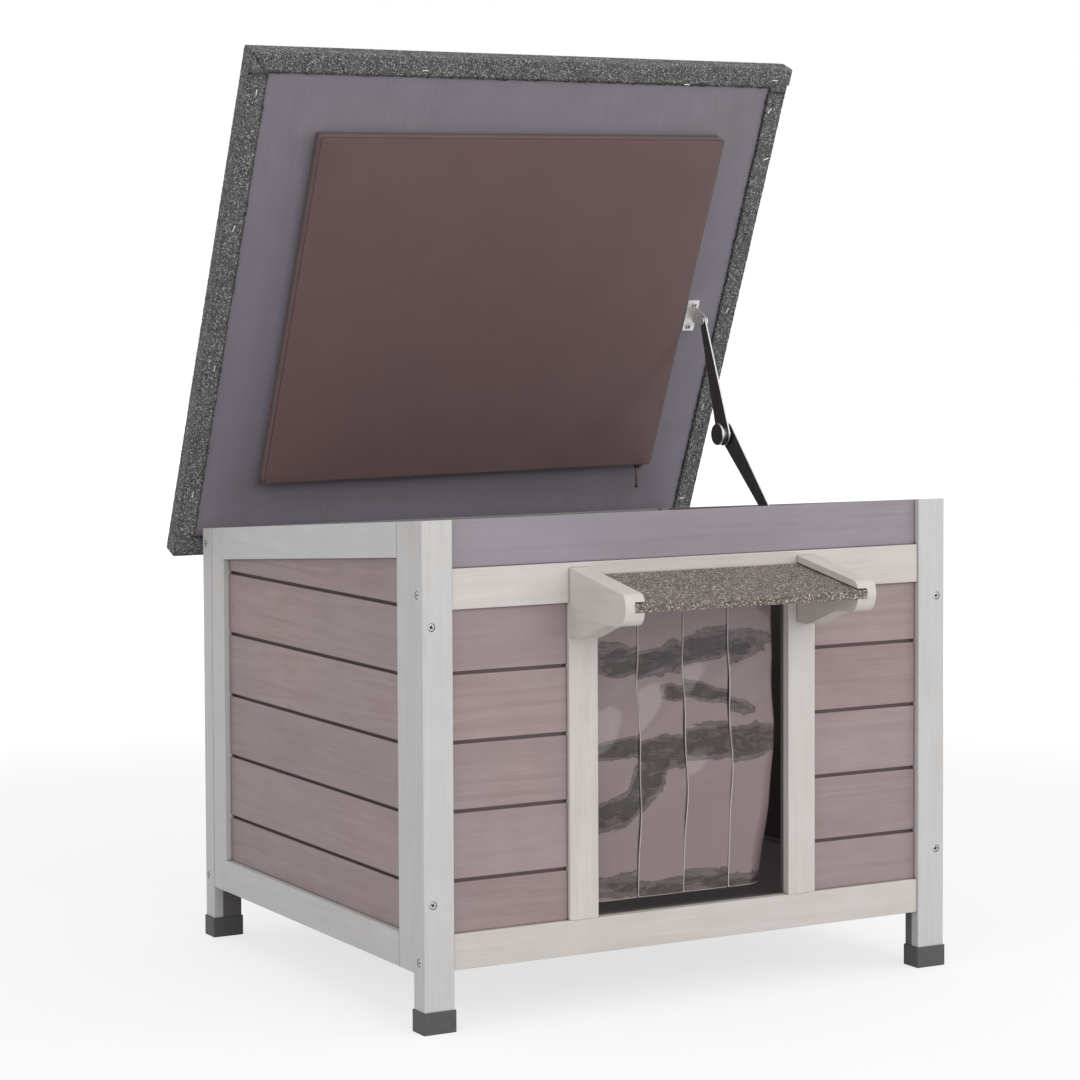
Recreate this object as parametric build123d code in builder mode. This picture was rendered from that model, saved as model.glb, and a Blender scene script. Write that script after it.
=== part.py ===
from build123d import *
import math
import os

os.makedirs("parts", exist_ok=True)

# A wooden cat house: four posts on rubber caps, slatted walls, a doorway with a strip
# curtain and a small canopy, and a hinged felt lid held open by a folding stay.
# Millimetres. X is to the right, the front faces -Y, +Z is up. The origin is on the
# floor, under the middle of the box around the object with its lid open.

# Driving dimensions of the body
body_width = 565
body_depth = 495
front_height = 455
roof_fall = 0.0768
front_y = -217.55
edge_ease = 0.8

post_width = 30
post_depth = 21
cap_height = 20
cap_wall = 1.3
cap_floor = 2

front_recess = 2
rail_height = 32
front_rail_z = 54.5
front_rail_depth = 16
sill_depth = 18
top_rail_z = 375.2
top_rail_height = 36.2
slat_thickness = 10
front_slat_recess = 6.5
door_width = 207
jamb_width = 30

side_recess = 0.5
side_rail_depth = 18
side_rail_z = 52.1
side_rail_height = 31.3
side_slat_recess = 7
stile_width = 30

groove_height = 3.2
groove_depth = 4
front_grooves = (135, 196.6, 258.2, 319.8)
side_grooves = (130.2, 192, 253.8, 315.6, 377.4)

floor_z = 70
floor_thickness = 9
cleat_size = 16

# Driving dimensions of the canopy over the door
bracket_width = 20
bracket_slot = 10
canopy_back_z = 399.3
canopy_front_z = 382
canopy_reach = 98.3
canopy_board_thickness = 5.7
canopy_felt_thickness = 2.5
canopy_gap = 1.3

# Driving dimensions of the strip curtain
flap_count = 4
flap_width = 48.5
flap_pitch = 49.3
flap_start = -102.5
flap_thickness = 1.2
flap_bottom_z = 97
flap_top_z = 372.5
flap_axis_z = 373
flap_depth = 16.8

# Driving dimensions of the lid
lid_open_angle = 66.85
hinge_depth = 499.1
hinge_drop = 3.23
lid_width = 612
lid_back = -29.8
lid_front = 511.5
felt_thickness = 3
panel_thickness = 15
fold_thickness = 4
fold_width = 21.3
felt_round = 2.4

pad_left = -226.5
pad_right_top = 237.5
pad_right_bottom = 234
pad_top_left = 432
pad_top_right = 440
pad_bottom_left = 54.7
pad_bottom_right = 62.3
pad_band = 15.5
pad_crown = 3.6
pad_corner = 8

# Driving dimensions of the hinges
hinge_places = (-162, 162)
hinge_length = 50
knuckle_radius = 2.6
pin_radius = 1.25
leaf_thickness = 1.5
leaf_reach = 21
knuckle_gap = 0.3
pin_fit = 0.05

# Driving dimensions of the folding stay, in depth from the front face and in height
stay_pivot = (394, 624.9)
stay_knee = (353.6, 504.6)
stay_foot = (268.7, 418)
arm_thickness = 1.6
upper_arm_x = 255.5
lower_arm_x = 260.5
upper_arm_ends = (5, 12)
lower_arm_ends = (12, 6)
knee_disc_radius = 11.5
knee_stud_radius = 4
rivet_radius = 2.5
rivet_head = 4.4
plate_thickness = 1.5

# Driving dimensions of the zip
zip_x = 220.5
zip_below = 4.2
zip_out = 9.5
zip_pin = 0.7
pull_length = 21
pull_width = 3.2
pull_thickness = 1.2

screw_head = 3.6
screw_recess = 3.75
recess_depth = 2.4
head_height = 2.1

half_width = body_width / 2
back_y = front_y + body_depth
slope = math.atan(roof_fall)
opening = math.radians(lid_open_angle)


def depth(distance):
    """Y at this distance behind the front faces of the posts."""
    return front_y + distance


def roof_height(distance):
    """Height of the sloping top of the walls at this distance behind the front."""
    return front_height - roof_fall * distance


def roof_plane(drop=0):
    """The plane along the sloping tops of the walls, lowered by drop."""
    upward = (0, math.sin(slope), math.cos(slope))
    return Plane((0, front_y, front_height - drop), x_dir=(1, 0, 0), z_dir=upward)


def side_span(side, near, far):
    """X limits at these distances inside the outer face of the left (-1) or right (+1) wall."""
    return sorted((side * (half_width - near), side * (half_width - far)))


def save(part, label):
    """Label a finished piece and write it to its own file."""
    part.label = label
    export_step(part, f"parts/{label}.step")


def make_board(label, x_span, y_span, z_span, grain, top_cut=None, ease=edge_ease):
    """A board between these limits, its long edges eased and its top cut along a plane."""
    with BuildPart() as board:
        with Locations((x_span[0], y_span[0], z_span[0])):
            Box(x_span[1] - x_span[0], y_span[1] - y_span[0], z_span[1] - z_span[0], align=(Align.MIN,) * 3)
        if top_cut is not None:
            split(bisect_by=top_cut, keep=Keep.BOTTOM)
        fillet(board.edges().filter_by(grain), ease)
    save(board.part, label)
    return board.part


def sloped_board(label, x_span, y_span, thickness):
    """A board whose top and bottom both follow the slope of the roof."""
    grain = Axis((0, 0, 0), (0, math.cos(slope), -math.sin(slope)))
    with BuildPart() as board:
        with Locations((x_span[0], y_span[0], 0)):
            Box(x_span[1] - x_span[0], y_span[1] - y_span[0], front_height, align=(Align.MIN,) * 3)
        split(bisect_by=roof_plane(), keep=Keep.BOTTOM)
        split(bisect_by=roof_plane(thickness), keep=Keep.TOP)
        fillet(board.edges().filter_by(grain), edge_ease)
    save(board.part, label)


def slat_wall(label, spans, outer_axis, outer, grooves, top_cut=None):
    """Horizontal slats, with a rebated gap below each of the given heights on the outer face.

    outer_axis is the axis across the wall, and outer the place of the outer face on it.
    """
    x_span, y_span, z_span = spans
    grain = Axis.X if outer_axis == Axis.Y else Axis.Y
    length = body_width + body_depth
    with BuildPart() as wall:
        with Locations((x_span[0], y_span[0], z_span[0])):
            Box(x_span[1] - x_span[0], y_span[1] - y_span[0], z_span[1] - z_span[0], align=(Align.MIN,) * 3)
        if top_cut is not None:
            split(bisect_by=top_cut, keep=Keep.BOTTOM)
        for line in grooves:
            middle = line - groove_height / 2
            place = (0, outer, middle) if outer_axis == Axis.Y else (outer, 0, middle)
            size = (length, 2 * groove_depth) if outer_axis == Axis.Y else (2 * groove_depth, length)
            with Locations(place):
                Box(size[0], size[1], groove_height, mode=Mode.SUBTRACT)
        lips = wall.edges().filter_by(grain).filter_by_position(outer_axis, outer - 0.01, outer + 0.01)
        lips = lips.filter_by_position(Axis.Z, grooves[0] - groove_height - 0.1, grooves[-1] + 0.1)
        fillet(lips, edge_ease)
    save(wall.part, label)


def screw_plane(place, outward):
    """The plane of a screw's recess, seen from outside."""
    x_dir = (1, 0, 0) if abs(outward[0]) < 0.5 else (0, 1, 0)
    return Plane(place, x_dir=x_dir, z_dir=outward)


# Screws that hold the rails and panels to the posts, two heights on each face
screw_x = half_width - 9
front_screws = [
    screw_plane((side * screw_x, front_y, height), (0, -1, 0)) for side in (-1, 1) for height in (115, 361)
]
back_screws = [
    screw_plane((side * screw_x, back_y, height), (0, 1, 0)) for side in (-1, 1) for height in (110, 340)
]
side_screws = [
    screw_plane((side * half_width, depth(distance), height), (side, 0, 0))
    for side in (-1, 1)
    for distance, heights in ((10.5, (62.8, 389)), (487, (62, 402)))
    for height in heights
]
recessed_screws = front_screws + back_screws + side_screws


# Corner posts, each set in a rubber cap
def make_post(name, side, distance):
    """A corner post with countersunk screw recesses, and the cap that it stands in."""
    x_span = side_span(side, 0, post_width)
    y_span = (depth(distance), depth(distance + post_depth))
    with BuildPart() as post:
        with Locations((x_span[0], y_span[0], cap_floor)):
            Box(post_width, post_depth, front_height, align=(Align.MIN,) * 3)
        split(bisect_by=roof_plane(), keep=Keep.BOTTOM)
        fillet(post.edges().filter_by(Axis.Z), edge_ease)
        for plane in recessed_screws:
            origin = plane.origin
            if x_span[0] - 1 < origin.X < x_span[1] + 1 and y_span[0] - 1 < origin.Y < y_span[1] + 1:
                with BuildSketch(plane):
                    Circle(screw_recess)
                extrude(amount=-recess_depth, mode=Mode.SUBTRACT)
    save(post.part, f"post_{name}")

    with BuildPart() as cap:
        with Locations((x_span[0] - cap_wall, y_span[0] - cap_wall, 0)):
            Box(post_width + 2 * cap_wall, post_depth + 2 * cap_wall, cap_height, align=(Align.MIN,) * 3)
        fillet(cap.edges().filter_by(Axis.Z), 1.2)
        fillet(cap.edges().group_by(Axis.Z)[0] + cap.edges().group_by(Axis.Z)[-1], 0.6)
        with Locations((x_span[0], y_span[0], cap_floor)):
            Box(post_width, post_depth, cap_height, align=(Align.MIN,) * 3, mode=Mode.SUBTRACT)
    save(cap.part, f"foot_cap_{name}")


post_places = (("front_left", -1, 0), ("front_right", 1, 0), ("back_left", -1, None), ("back_right", 1, None))
for name, side, distance in post_places:
    make_post(name, side, body_depth - post_depth if distance is None else distance)

# Front: sill, top rail, recessed top board, jambs and slats
between_posts = (-half_width + post_width, half_width - post_width)
rail_front = depth(front_recess)
slat_front = depth(front_slat_recess)
make_board(
    "front_bottom_rail",
    between_posts,
    (rail_front, depth(sill_depth)),
    (front_rail_z, front_rail_z + rail_height),
    Axis.X,
)
top_rail_top = top_rail_z + top_rail_height
make_board(
    "front_top_rail", between_posts, (rail_front, depth(front_rail_depth)), (top_rail_z, top_rail_top), Axis.X
)
make_board(
    "front_top_board",
    between_posts,
    (slat_front, slat_front + slat_thickness),
    (top_rail_top, front_height),
    Axis.X,
    top_cut=roof_plane(),
    ease=0.5,
)
sill_top = front_rail_z + rail_height
jamb_outer = door_width / 2 + jamb_width
for name, side in (("left", -1), ("right", 1)):
    make_board(
        f"door_jamb_{name}",
        sorted((side * door_width / 2, side * jamb_outer)),
        (rail_front, depth(front_rail_depth)),
        (sill_top, top_rail_z),
        Axis.Z,
    )
    slat_wall(
        f"front_slats_{name}",
        (
            sorted((side * jamb_outer, side * between_posts[1])),
            (slat_front, slat_front + slat_thickness),
            (sill_top, top_rail_z),
        ),
        Axis.Y,
        slat_front,
        front_grooves,
    )

# Side panels: stiles against the posts, a sloping top rail, a bottom rail and slats
stile_front = (post_depth, post_depth + stile_width)
stile_back = (body_depth - post_depth - stile_width, body_depth - post_depth)
side_rail_top = side_rail_z + side_rail_height
for name, side in (("left", -1), ("right", 1)):
    rail_x = side_span(side, side_recess, side_recess + side_rail_depth)
    slat_x = side_span(side, side_slat_recess, side_slat_recess + slat_thickness)
    inner_y = (depth(stile_front[1]), depth(stile_back[0]))
    for place, (near, far) in (("front", stile_front), ("rear", stile_back)):
        make_board(
            f"{name}_side_{place}_stile",
            rail_x,
            (depth(near), depth(far)),
            (side_rail_z, front_height),
            Axis.Z,
            top_cut=roof_plane(),
        )
    make_board(f"{name}_side_bottom_rail", rail_x, inner_y, (side_rail_z, side_rail_top), Axis.Y)
    sloped_board(f"{name}_side_top_rail", rail_x, inner_y, rail_height)
    slat_wall(
        f"{name}_slats",
        (slat_x, inner_y, (side_rail_top, front_height)),
        Axis.X,
        side * (half_width - side_slat_recess),
        side_grooves,
        top_cut=roof_plane(rail_height),
    )

# Back: two rails flush with the posts, and slats
back_rail_y = (back_y - front_rail_depth, back_y)
back_slat_recess = front_recess + front_slat_recess
back_slat_y = (back_y - back_slat_recess - slat_thickness, back_y - back_slat_recess)
back_top_rail_z = 381
make_board("back_bottom_rail", between_posts, back_rail_y, (front_rail_z, sill_top), Axis.X)
back_top_z = (back_top_rail_z, front_height)
make_board("back_top_rail", between_posts, back_rail_y, back_top_z, Axis.X, top_cut=roof_plane())
back_slat_spans = (between_posts, back_slat_y, (sill_top, back_top_rail_z))
slat_wall("back_slats", back_slat_spans, Axis.Y, back_slat_y[1], front_grooves)

# Floor board resting on two cleats
floor_x = half_width - side_recess - side_rail_depth
make_board(
    "floor_board",
    (-floor_x, floor_x),
    (depth(post_depth + 0.3), depth(body_depth - post_depth - 0.3)),
    (floor_z, floor_z + floor_thickness),
    Axis.X,
    ease=0.5,
)
for name, side in (("left", -1), ("right", 1)):
    make_board(
        f"floor_cleat_{name}",
        sorted((side * floor_x, side * (floor_x - cleat_size + 1))),
        (depth(60), depth(435)),
        (floor_z - cleat_size, floor_z),
        Axis.Y,
    )

# Canopy: two shaped brackets with a slot for the board, and the board with its felt
canopy_angle = math.atan((canopy_back_z - canopy_front_z) / (canopy_reach + front_recess))
canopy_run = (canopy_reach + front_recess) / math.cos(canopy_angle)
canopy_forward = (0, -math.cos(canopy_angle), -math.sin(canopy_angle))
canopy_plane = Plane((0, rail_front, canopy_back_z), x_dir=canopy_forward, z_dir=(1, 0, 0))
bracket_outer = door_width / 2 + jamb_width - 0.3
canopy_thickness = canopy_board_thickness + canopy_felt_thickness


def canopy_bar(start, end, low, high, half_length, reach=canopy_run):
    """A bar across the canopy, low and high measured square to its top surface, start and end along it."""
    with BuildPart() as bar:
        with BuildSketch(canopy_plane):
            with Locations(((start + end) / 2, (low + high) / 2)):
                Rectangle(end - start, high - low)
        extrude(amount=half_length, both=True)
        split(bisect_by=Plane((0, rail_front, 0), z_dir=(0, -1, 0)), keep=Keep.TOP)
    return bar.part


# The sketch's own Y points up from the canopy on this plane or down, so it is found once
canopy_up = 1 if canopy_plane.y_dir.Z > 0 else -1


def canopy_levels(top, bottom):
    """Limits across the canopy for these distances below its top surface."""
    return sorted((-canopy_up * top, -canopy_up * bottom))


canopy_half = bracket_outer - bracket_width + bracket_slot
board_levels = canopy_levels(canopy_felt_thickness, canopy_thickness)
felt_levels = canopy_levels(0, canopy_felt_thickness)
nose_levels = canopy_levels(0, canopy_thickness)
slot_levels = canopy_levels(-canopy_gap, canopy_thickness)
board_end = canopy_run - canopy_felt_thickness

save(canopy_bar(-10, board_end, board_levels[0], board_levels[1], canopy_half), "canopy_board")

felt_top = canopy_bar(-10, canopy_run, felt_levels[0], felt_levels[1], canopy_half)
felt_nose = canopy_bar(board_end, canopy_run, nose_levels[0], nose_levels[1], canopy_half)
with BuildPart() as canopy_felt:
    add(felt_top)
    add(felt_nose)
    nose_edges = canopy_felt.edges().filter_by(Axis.X).group_by(Axis.Y)[0]
    fillet(nose_edges, 1)
save(canopy_felt.part, "canopy_felt")

slot_cutter = canopy_bar(-10, canopy_run + 20, slot_levels[0], slot_levels[1], canopy_half)
for name, side in (("left", -1), ("right", 1)):
    with BuildPart() as bracket:
        with BuildSketch(Plane((side * bracket_outer, 0, 0), x_dir=(0, 1, 0), z_dir=(1, 0, 0))):
            with BuildLine():
                top_line = Line((rail_front, 407), (depth(-88), 391.2))
                nose_top = RadiusArc(top_line @ 1, (depth(-96.5), 383.5), -9)
                nose_front = Spline(nose_top @ 1, (depth(-97.3), 377), (depth(-95.6), 370.5))
                nose_low = RadiusArc(nose_front @ 1, (depth(-85), 361.7), -11)
                under_flat = Line(nose_low @ 1, (depth(-64), 360.4))
                ogee = Spline(under_flat @ 1, (depth(-44), 354), (depth(-28), 347.8), (depth(-12), 343.3))
                under_back = Line(ogee @ 1, (rail_front, 345))
                Line(under_back @ 1, top_line @ 0)
            make_face()
        extrude(amount=-side * bracket_width)
        add(slot_cutter, mode=Mode.SUBTRACT)
    save(bracket.part, f"canopy_bracket_{name}")

# Strip curtain: four clear strips under a band, which a batten clamps to the top rail
flap_front = depth(flap_depth - flap_thickness / 2)
for index in range(flap_count):
    left = flap_start + index * flap_pitch
    with BuildPart() as flap:
        with Locations((left, flap_front, flap_bottom_z)):
            Box(flap_width, flap_thickness, flap_top_z - flap_bottom_z, align=(Align.MIN,) * 3)
        fillet(flap.edges().filter_by(Axis.Y).group_by(Axis.Z)[0], 2)
    save(flap.part, f"flap_{index + 1}")

curtain_end = flap_start + (flap_count - 1) * flap_pitch + flap_width
band_top = 400
with BuildPart() as flap_band:
    band_bottom = flap_axis_z + 0.5
    with Locations((flap_start, depth(front_rail_depth), band_bottom)):
        Box(curtain_end - flap_start, flap_thickness + 0.2, band_top - band_bottom, align=(Align.MIN,) * 3)
save(flap_band.part, "flap_band")
batten_y = depth(front_rail_depth) + flap_thickness + 0.2
make_board("flap_batten", (-117.5, 117.5), (batten_y, batten_y + 12), (376, 402), Axis.X)

# Lid, drawn in its open pose. On its planes X stays across, Y runs from the hinge to the
# lid's free edge, and Z points to the inside. Level 0 is the face of the felt's fold.
pin_z = roof_height(hinge_depth) - hinge_drop / math.cos(slope)
pin_place = (0, depth(hinge_depth), pin_z)
lid_inward = Vector(0, -math.sin(opening), -math.cos(opening))
lid_origin = Vector(*pin_place) - lid_inward * hinge_drop


def lid_plane(level=0):
    """The plane across the open lid at this level."""
    return Plane(lid_origin + lid_inward * level, x_dir=(1, 0, 0), z_dir=lid_inward)


def lid_slab(half_length, low, high, bottom, top):
    """A slab of the lid between these levels, low and high measured from the hinge."""
    with BuildPart() as slab:
        with BuildSketch(lid_plane(bottom)):
            with Locations((0, (low + high) / 2)):
                Rectangle(2 * half_length, high - low)
        extrude(amount=top - bottom)
    return slab.part


half_lid = lid_width / 2
underside = -fold_thickness
panel_top = underside - panel_thickness
felt_top_level = panel_top - felt_thickness
panel = lid_slab(
    half_lid - felt_thickness, lid_back + felt_thickness, lid_front - felt_thickness, panel_top, underside
)
save(panel, "lid_panel")

felt_block = lid_slab(half_lid, lid_back, lid_front, felt_top_level, 0)
fold_window = lid_slab(
    half_lid - fold_width, lid_back + fold_width - 0.8, lid_front - fold_width, underside, fold_thickness
)
with BuildPart() as lid_felt:
    add(felt_block)
    fillet(lid_felt.edges(), felt_round)
    add(panel, mode=Mode.SUBTRACT)
    add(fold_window, mode=Mode.SUBTRACT)
save(lid_felt.part, "lid_felt")

# Staples along the fold, each place across and up the lid with its turn
staple_places = (
    (183.1, 493.7, 0),
    (290.1, 500.6, 0),
    (290.3, 465.6, 60),
    (301.5, 412.6, 20),
    (294.7, 238.8, 70),
    (291.5, 124.2, 80),
    (293.1, 13.1, 10),
    (-120, 498, 0),
    (-294, 470, 90),
    (-295, 330, 80),
    (-292, 180, 90),
    (-294, 40, 85),
    (-240, -18, 0),
    (0, -18, 0),
    (240, -18, 0),
)
with BuildPart() as felt_staples:
    for across, up, turn in staple_places:
        with BuildSketch(lid_plane(0)):
            with Locations(Location((across, up, 0), (0, 0, turn))):
                Rectangle(6, 0.8)
        extrude(amount=0.5)
save(felt_staples.part, "felt_staples")

# Boxed pad under the lid: side bands drawn in between two seams, and a crowned face
pad_corners = (
    (pad_left, pad_bottom_left),
    (pad_right_bottom, pad_bottom_right),
    (pad_right_top, pad_top_right),
    (pad_left, pad_top_left),
)
band_stages = ((0, 1.5), (1.2, 0), (pad_band / 2, 1.9), (pad_band, 0.2))
crown_stages = ((pad_band, 0.2), (pad_band + 0.62 * pad_crown, 12), (pad_band + pad_crown, 60))


def pad_sketch(height, inset):
    """The pad's outline at this height above the lid, drawn in by inset."""
    with BuildSketch(lid_plane(underside + height)) as outline:
        with BuildLine():
            Polyline(*pad_corners, close=True)
        make_face()
        if inset > 0:
            offset(amount=-inset, kind=Kind.INTERSECTION, mode=Mode.REPLACE)
        fillet(outline.vertices(), pad_corner)
    return outline.sketch


with BuildPart() as pad:
    loft(sections=[pad_sketch(height, inset) for height, inset in band_stages])
    loft(sections=[pad_sketch(height, inset) for height, inset in crown_stages])
save(pad.part, "pad")

# Zip slider on the pad's lower band, and the pull that hangs from it
zip_share = (zip_x - pad_left) / (pad_right_bottom - pad_left)
zip_v = pad_bottom_left + zip_share * (pad_bottom_right - pad_bottom_left) - zip_below
zip_level = underside + zip_out
zip_point = lid_origin + Vector(0, -math.cos(opening), math.sin(opening)) * zip_v + lid_inward * zip_level
lug_half = pull_width / 2 + 1.2
with BuildPart() as zip_slider:
    with BuildSketch(lid_plane(zip_level - 3.6)):
        with Locations((zip_x, zip_v + 2.9)):
            Rectangle(9, 2.2)
    extrude(amount=7.2)
    for sign in (-1, 1):
        lug_x = zip_x + sign * (pull_width / 2 + 0.7)
        with BuildSketch(Plane((lug_x, 0, 0), x_dir=(0, 1, 0), z_dir=(1, 0, 0))):
            with Locations((zip_point.Y, zip_point.Z)):
                Circle(1.5)
        extrude(amount=0.5, both=True)
        with BuildSketch(lid_plane(zip_level - 1.4)):
            with Locations((lug_x, zip_v + 1)):
                Rectangle(1, 2)
        extrude(amount=2.8)
    with BuildSketch(Plane((zip_x, 0, 0), x_dir=(0, 1, 0), z_dir=(1, 0, 0))):
        with Locations((zip_point.Y, zip_point.Z)):
            Circle(zip_pin)
    extrude(amount=lug_half, both=True)
save(zip_slider.part, "zip_slider")

with BuildPart() as zip_pull:
    with BuildSketch(Plane((zip_x, 0, 0), x_dir=(0, 1, 0), z_dir=(1, 0, 0))):
        with Locations((zip_point.Y, zip_point.Z)):
            Circle(1.3)
        with Locations((zip_point.Y, zip_point.Z - pull_length / 2)):
            Rectangle(pull_thickness, pull_length)
        with Locations((zip_point.Y, zip_point.Z)):
            Circle(zip_pin + pin_fit, mode=Mode.SUBTRACT)
    extrude(amount=pull_width / 2 - 0.1, both=True)
    with Locations((zip_x, zip_point.Y, zip_point.Z - pull_length)):
        Sphere(2.1)
save(zip_pull.part, "zip_pull")


# Butt hinges behind the back rail: one leaf down the rail, one leaf under the lid's overhang
def pin_plane(x):
    """The plane across the hinge pin at this X, its own X toward the back."""
    return Plane((x, pin_place[1], pin_place[2]), x_dir=(0, 1, 0), z_dir=(1, 0, 0))


third = hinge_length / 3
leaf_middle = knuckle_radius + 0.4 + leaf_reach / 2
with BuildPart() as hinge_body_leaves:
    for place in hinge_places:
        with Locations((place, back_y + leaf_thickness / 2, pin_place[2] - leaf_middle)):
            Box(hinge_length, leaf_thickness, leaf_reach)
        for sign in (-1, 1):
            middle = place + sign * third
            with BuildSketch(pin_plane(middle)):
                Circle(knuckle_radius)
                with Locations((-knuckle_radius - leaf_thickness / 2, -2)):
                    Rectangle(leaf_thickness, 3.2)
                with Locations((-(knuckle_radius + leaf_thickness) / 2, -1.3)):
                    Rectangle(knuckle_radius + leaf_thickness, 1.8)
                Circle(pin_radius, mode=Mode.SUBTRACT)
            extrude(amount=third / 2 - knuckle_gap / 2, both=True)
save(hinge_body_leaves.part, "hinge_body_leaves")

with BuildPart() as hinge_lid_leaves:
    for place in hinge_places:
        with BuildSketch(lid_plane(0)):
            with Locations((place, -0.6 - leaf_middle)):
                Rectangle(hinge_length, leaf_reach)
        extrude(amount=leaf_thickness)
        with BuildSketch(lid_plane(0)):
            with Locations((place, -(knuckle_radius + 1) / 2)):
                Rectangle(third - knuckle_gap, knuckle_radius + 1)
        extrude(amount=leaf_thickness)
        with BuildSketch(pin_plane(place)):
            Circle(knuckle_radius)
        extrude(amount=third / 2 - knuckle_gap / 2, both=True)
        with BuildSketch(pin_plane(place)):
            Circle(pin_radius + pin_fit)
        extrude(amount=third / 2, both=True, mode=Mode.SUBTRACT)
save(hinge_lid_leaves.part, "hinge_lid_leaves")

with BuildPart() as hinge_pins:
    for place in hinge_places:
        with BuildSketch(pin_plane(place)):
            Circle(pin_radius)
        extrude(amount=hinge_length / 2, both=True)
save(hinge_pins.part, "hinge_pins")


# Folding stay at the right: plate and tongue on the lid, two arms, a knee stud and a wall plate
def stay_plane(x):
    """The upright plane along the stay's arms at this X, drawn in Y and Z."""
    return Plane((x, 0, 0), x_dir=(0, 1, 0), z_dir=(1, 0, 0))


def stay_point(point):
    """A point of the stay given by its distance from the front and its height."""
    return (depth(point[0]), point[1])


def lid_coordinates(point):
    """How far up the lid, and how far inside it, a point of the stay lies."""
    y, z = stay_point(point)
    offset_vector = Vector(0, y, z) - lid_origin
    up = offset_vector.dot(Vector(0, -math.cos(opening), math.sin(opening)))
    return up, offset_vector.dot(lid_inward)


pivot_up, pivot_in = lid_coordinates(stay_pivot)
plate_centre_x = 252.5
plate_centre_up = 233.8
tongue_x = 257.9
with BuildPart() as stay_lid_plate:
    with BuildSketch(lid_plane(underside)):
        with Locations((plate_centre_x, plate_centre_up)):
            RectangleRounded(14, 35.3, 1)
    extrude(amount=plate_thickness)
    tongue_origin = (tongue_x, lid_origin.Y, lid_origin.Z)
    tongue_plane = Plane(tongue_origin, x_dir=lid_plane().y_dir, z_dir=(1, 0, 0))
    inward = 1 if tongue_plane.y_dir.dot(lid_inward) > 0 else -1
    with BuildSketch(tongue_plane):
        with BuildLine():
            Polyline(
                (plate_centre_up - 9, inward * underside),
                (plate_centre_up + 9, inward * underside),
                (pivot_up + 5, inward * pivot_in),
                (pivot_up - 5, inward * pivot_in),
                close=True,
            )
        make_face()
        with Locations((pivot_up, inward * pivot_in)):
            Circle(5)
    extrude(amount=plate_thickness)
    with BuildSketch(stay_plane(tongue_x)):
        with Locations(stay_point(stay_pivot)):
            Circle(rivet_radius)
    extrude(amount=-(tongue_x - upper_arm_x + 0.4))
    with BuildSketch(stay_plane(upper_arm_x - 0.35)):
        with Locations(stay_point(stay_pivot)):
            Circle(rivet_head)
    extrude(amount=-1.2)
save(stay_lid_plate.part, "stay_lid_plate")


def arm_sketch(x, start, end, radii):
    """A tapering arm between two points, rounded to a radius at each."""
    (y0, z0), (y1, z1) = stay_point(start), stay_point(end)
    length = math.hypot(y1 - y0, z1 - z0)
    across = ((z0 - z1) / length, (y1 - y0) / length)
    with BuildSketch(stay_plane(x)) as outline:
        with BuildLine():
            Polyline(
                (y0 + across[0] * radii[0], z0 + across[1] * radii[0]),
                (y1 + across[0] * radii[1], z1 + across[1] * radii[1]),
                (y1 - across[0] * radii[1], z1 - across[1] * radii[1]),
                (y0 - across[0] * radii[0], z0 - across[1] * radii[0]),
                close=True,
            )
        make_face()
        with Locations((y0, z0)):
            Circle(radii[0])
        with Locations((y1, z1)):
            Circle(radii[1])
    return outline.sketch


with BuildPart() as stay_upper_arm:
    extrude(arm_sketch(upper_arm_x, stay_pivot, stay_knee, upper_arm_ends), amount=arm_thickness)
    with BuildSketch(stay_plane(upper_arm_x)):
        with Locations(stay_point(stay_pivot)):
            Circle(rivet_radius + pin_fit)
        with Locations(stay_point(stay_knee)):
            Circle(knee_stud_radius)
    extrude(amount=arm_thickness, mode=Mode.SUBTRACT)
save(stay_upper_arm.part, "stay_upper_arm")

disc_x = 247.5
with BuildPart() as stay_knee_stud:
    with BuildSketch(stay_plane(disc_x)):
        with Locations(stay_point(stay_knee)):
            Circle(knee_disc_radius)
    extrude(amount=3)
    fillet(stay_knee_stud.edges().filter_by(GeomType.CIRCLE), 1)
    with BuildSketch(stay_plane(disc_x + 3)):
        with Locations(stay_point(stay_knee)):
            Circle(7)
    extrude(amount=upper_arm_x - disc_x - 3)
    with BuildSketch(stay_plane(upper_arm_x)):
        with Locations(stay_point(stay_knee)):
            Circle(knee_stud_radius)
    extrude(amount=lower_arm_x + arm_thickness - upper_arm_x)
save(stay_knee_stud.part, "stay_knee_stud")

with BuildPart() as stay_lower_arm:
    extrude(arm_sketch(lower_arm_x, stay_knee, stay_foot, lower_arm_ends), amount=arm_thickness)
    with BuildSketch(stay_plane(lower_arm_x)):
        with Locations(stay_point(stay_knee)):
            Circle(knee_stud_radius + pin_fit)
    extrude(amount=arm_thickness, mode=Mode.SUBTRACT)
    with BuildSketch(stay_plane(lower_arm_x)):
        with Locations(stay_point(stay_foot)):
            Circle(rivet_head)
    extrude(amount=-0.8)
save(stay_lower_arm.part, "stay_lower_arm")

wall_x = half_width - side_recess - side_rail_depth
wall_screws = [(wall_x, depth(stay_foot[0] + shift), stay_foot[1] + 5) for shift in (-14, 14)]
with BuildPart() as stay_wall_plate:
    with BuildSketch(stay_plane(wall_x)):
        with Locations(stay_point(stay_foot)):
            RectangleRounded(40, 22, 3)
    extrude(amount=-plate_thickness)
    with BuildSketch(stay_plane(wall_x)):
        with Locations([(y, z) for x, y, z in wall_screws]):
            Circle(2.75)
    extrude(amount=-plate_thickness, mode=Mode.SUBTRACT)
save(stay_wall_plate.part, "stay_wall_plate")


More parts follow.
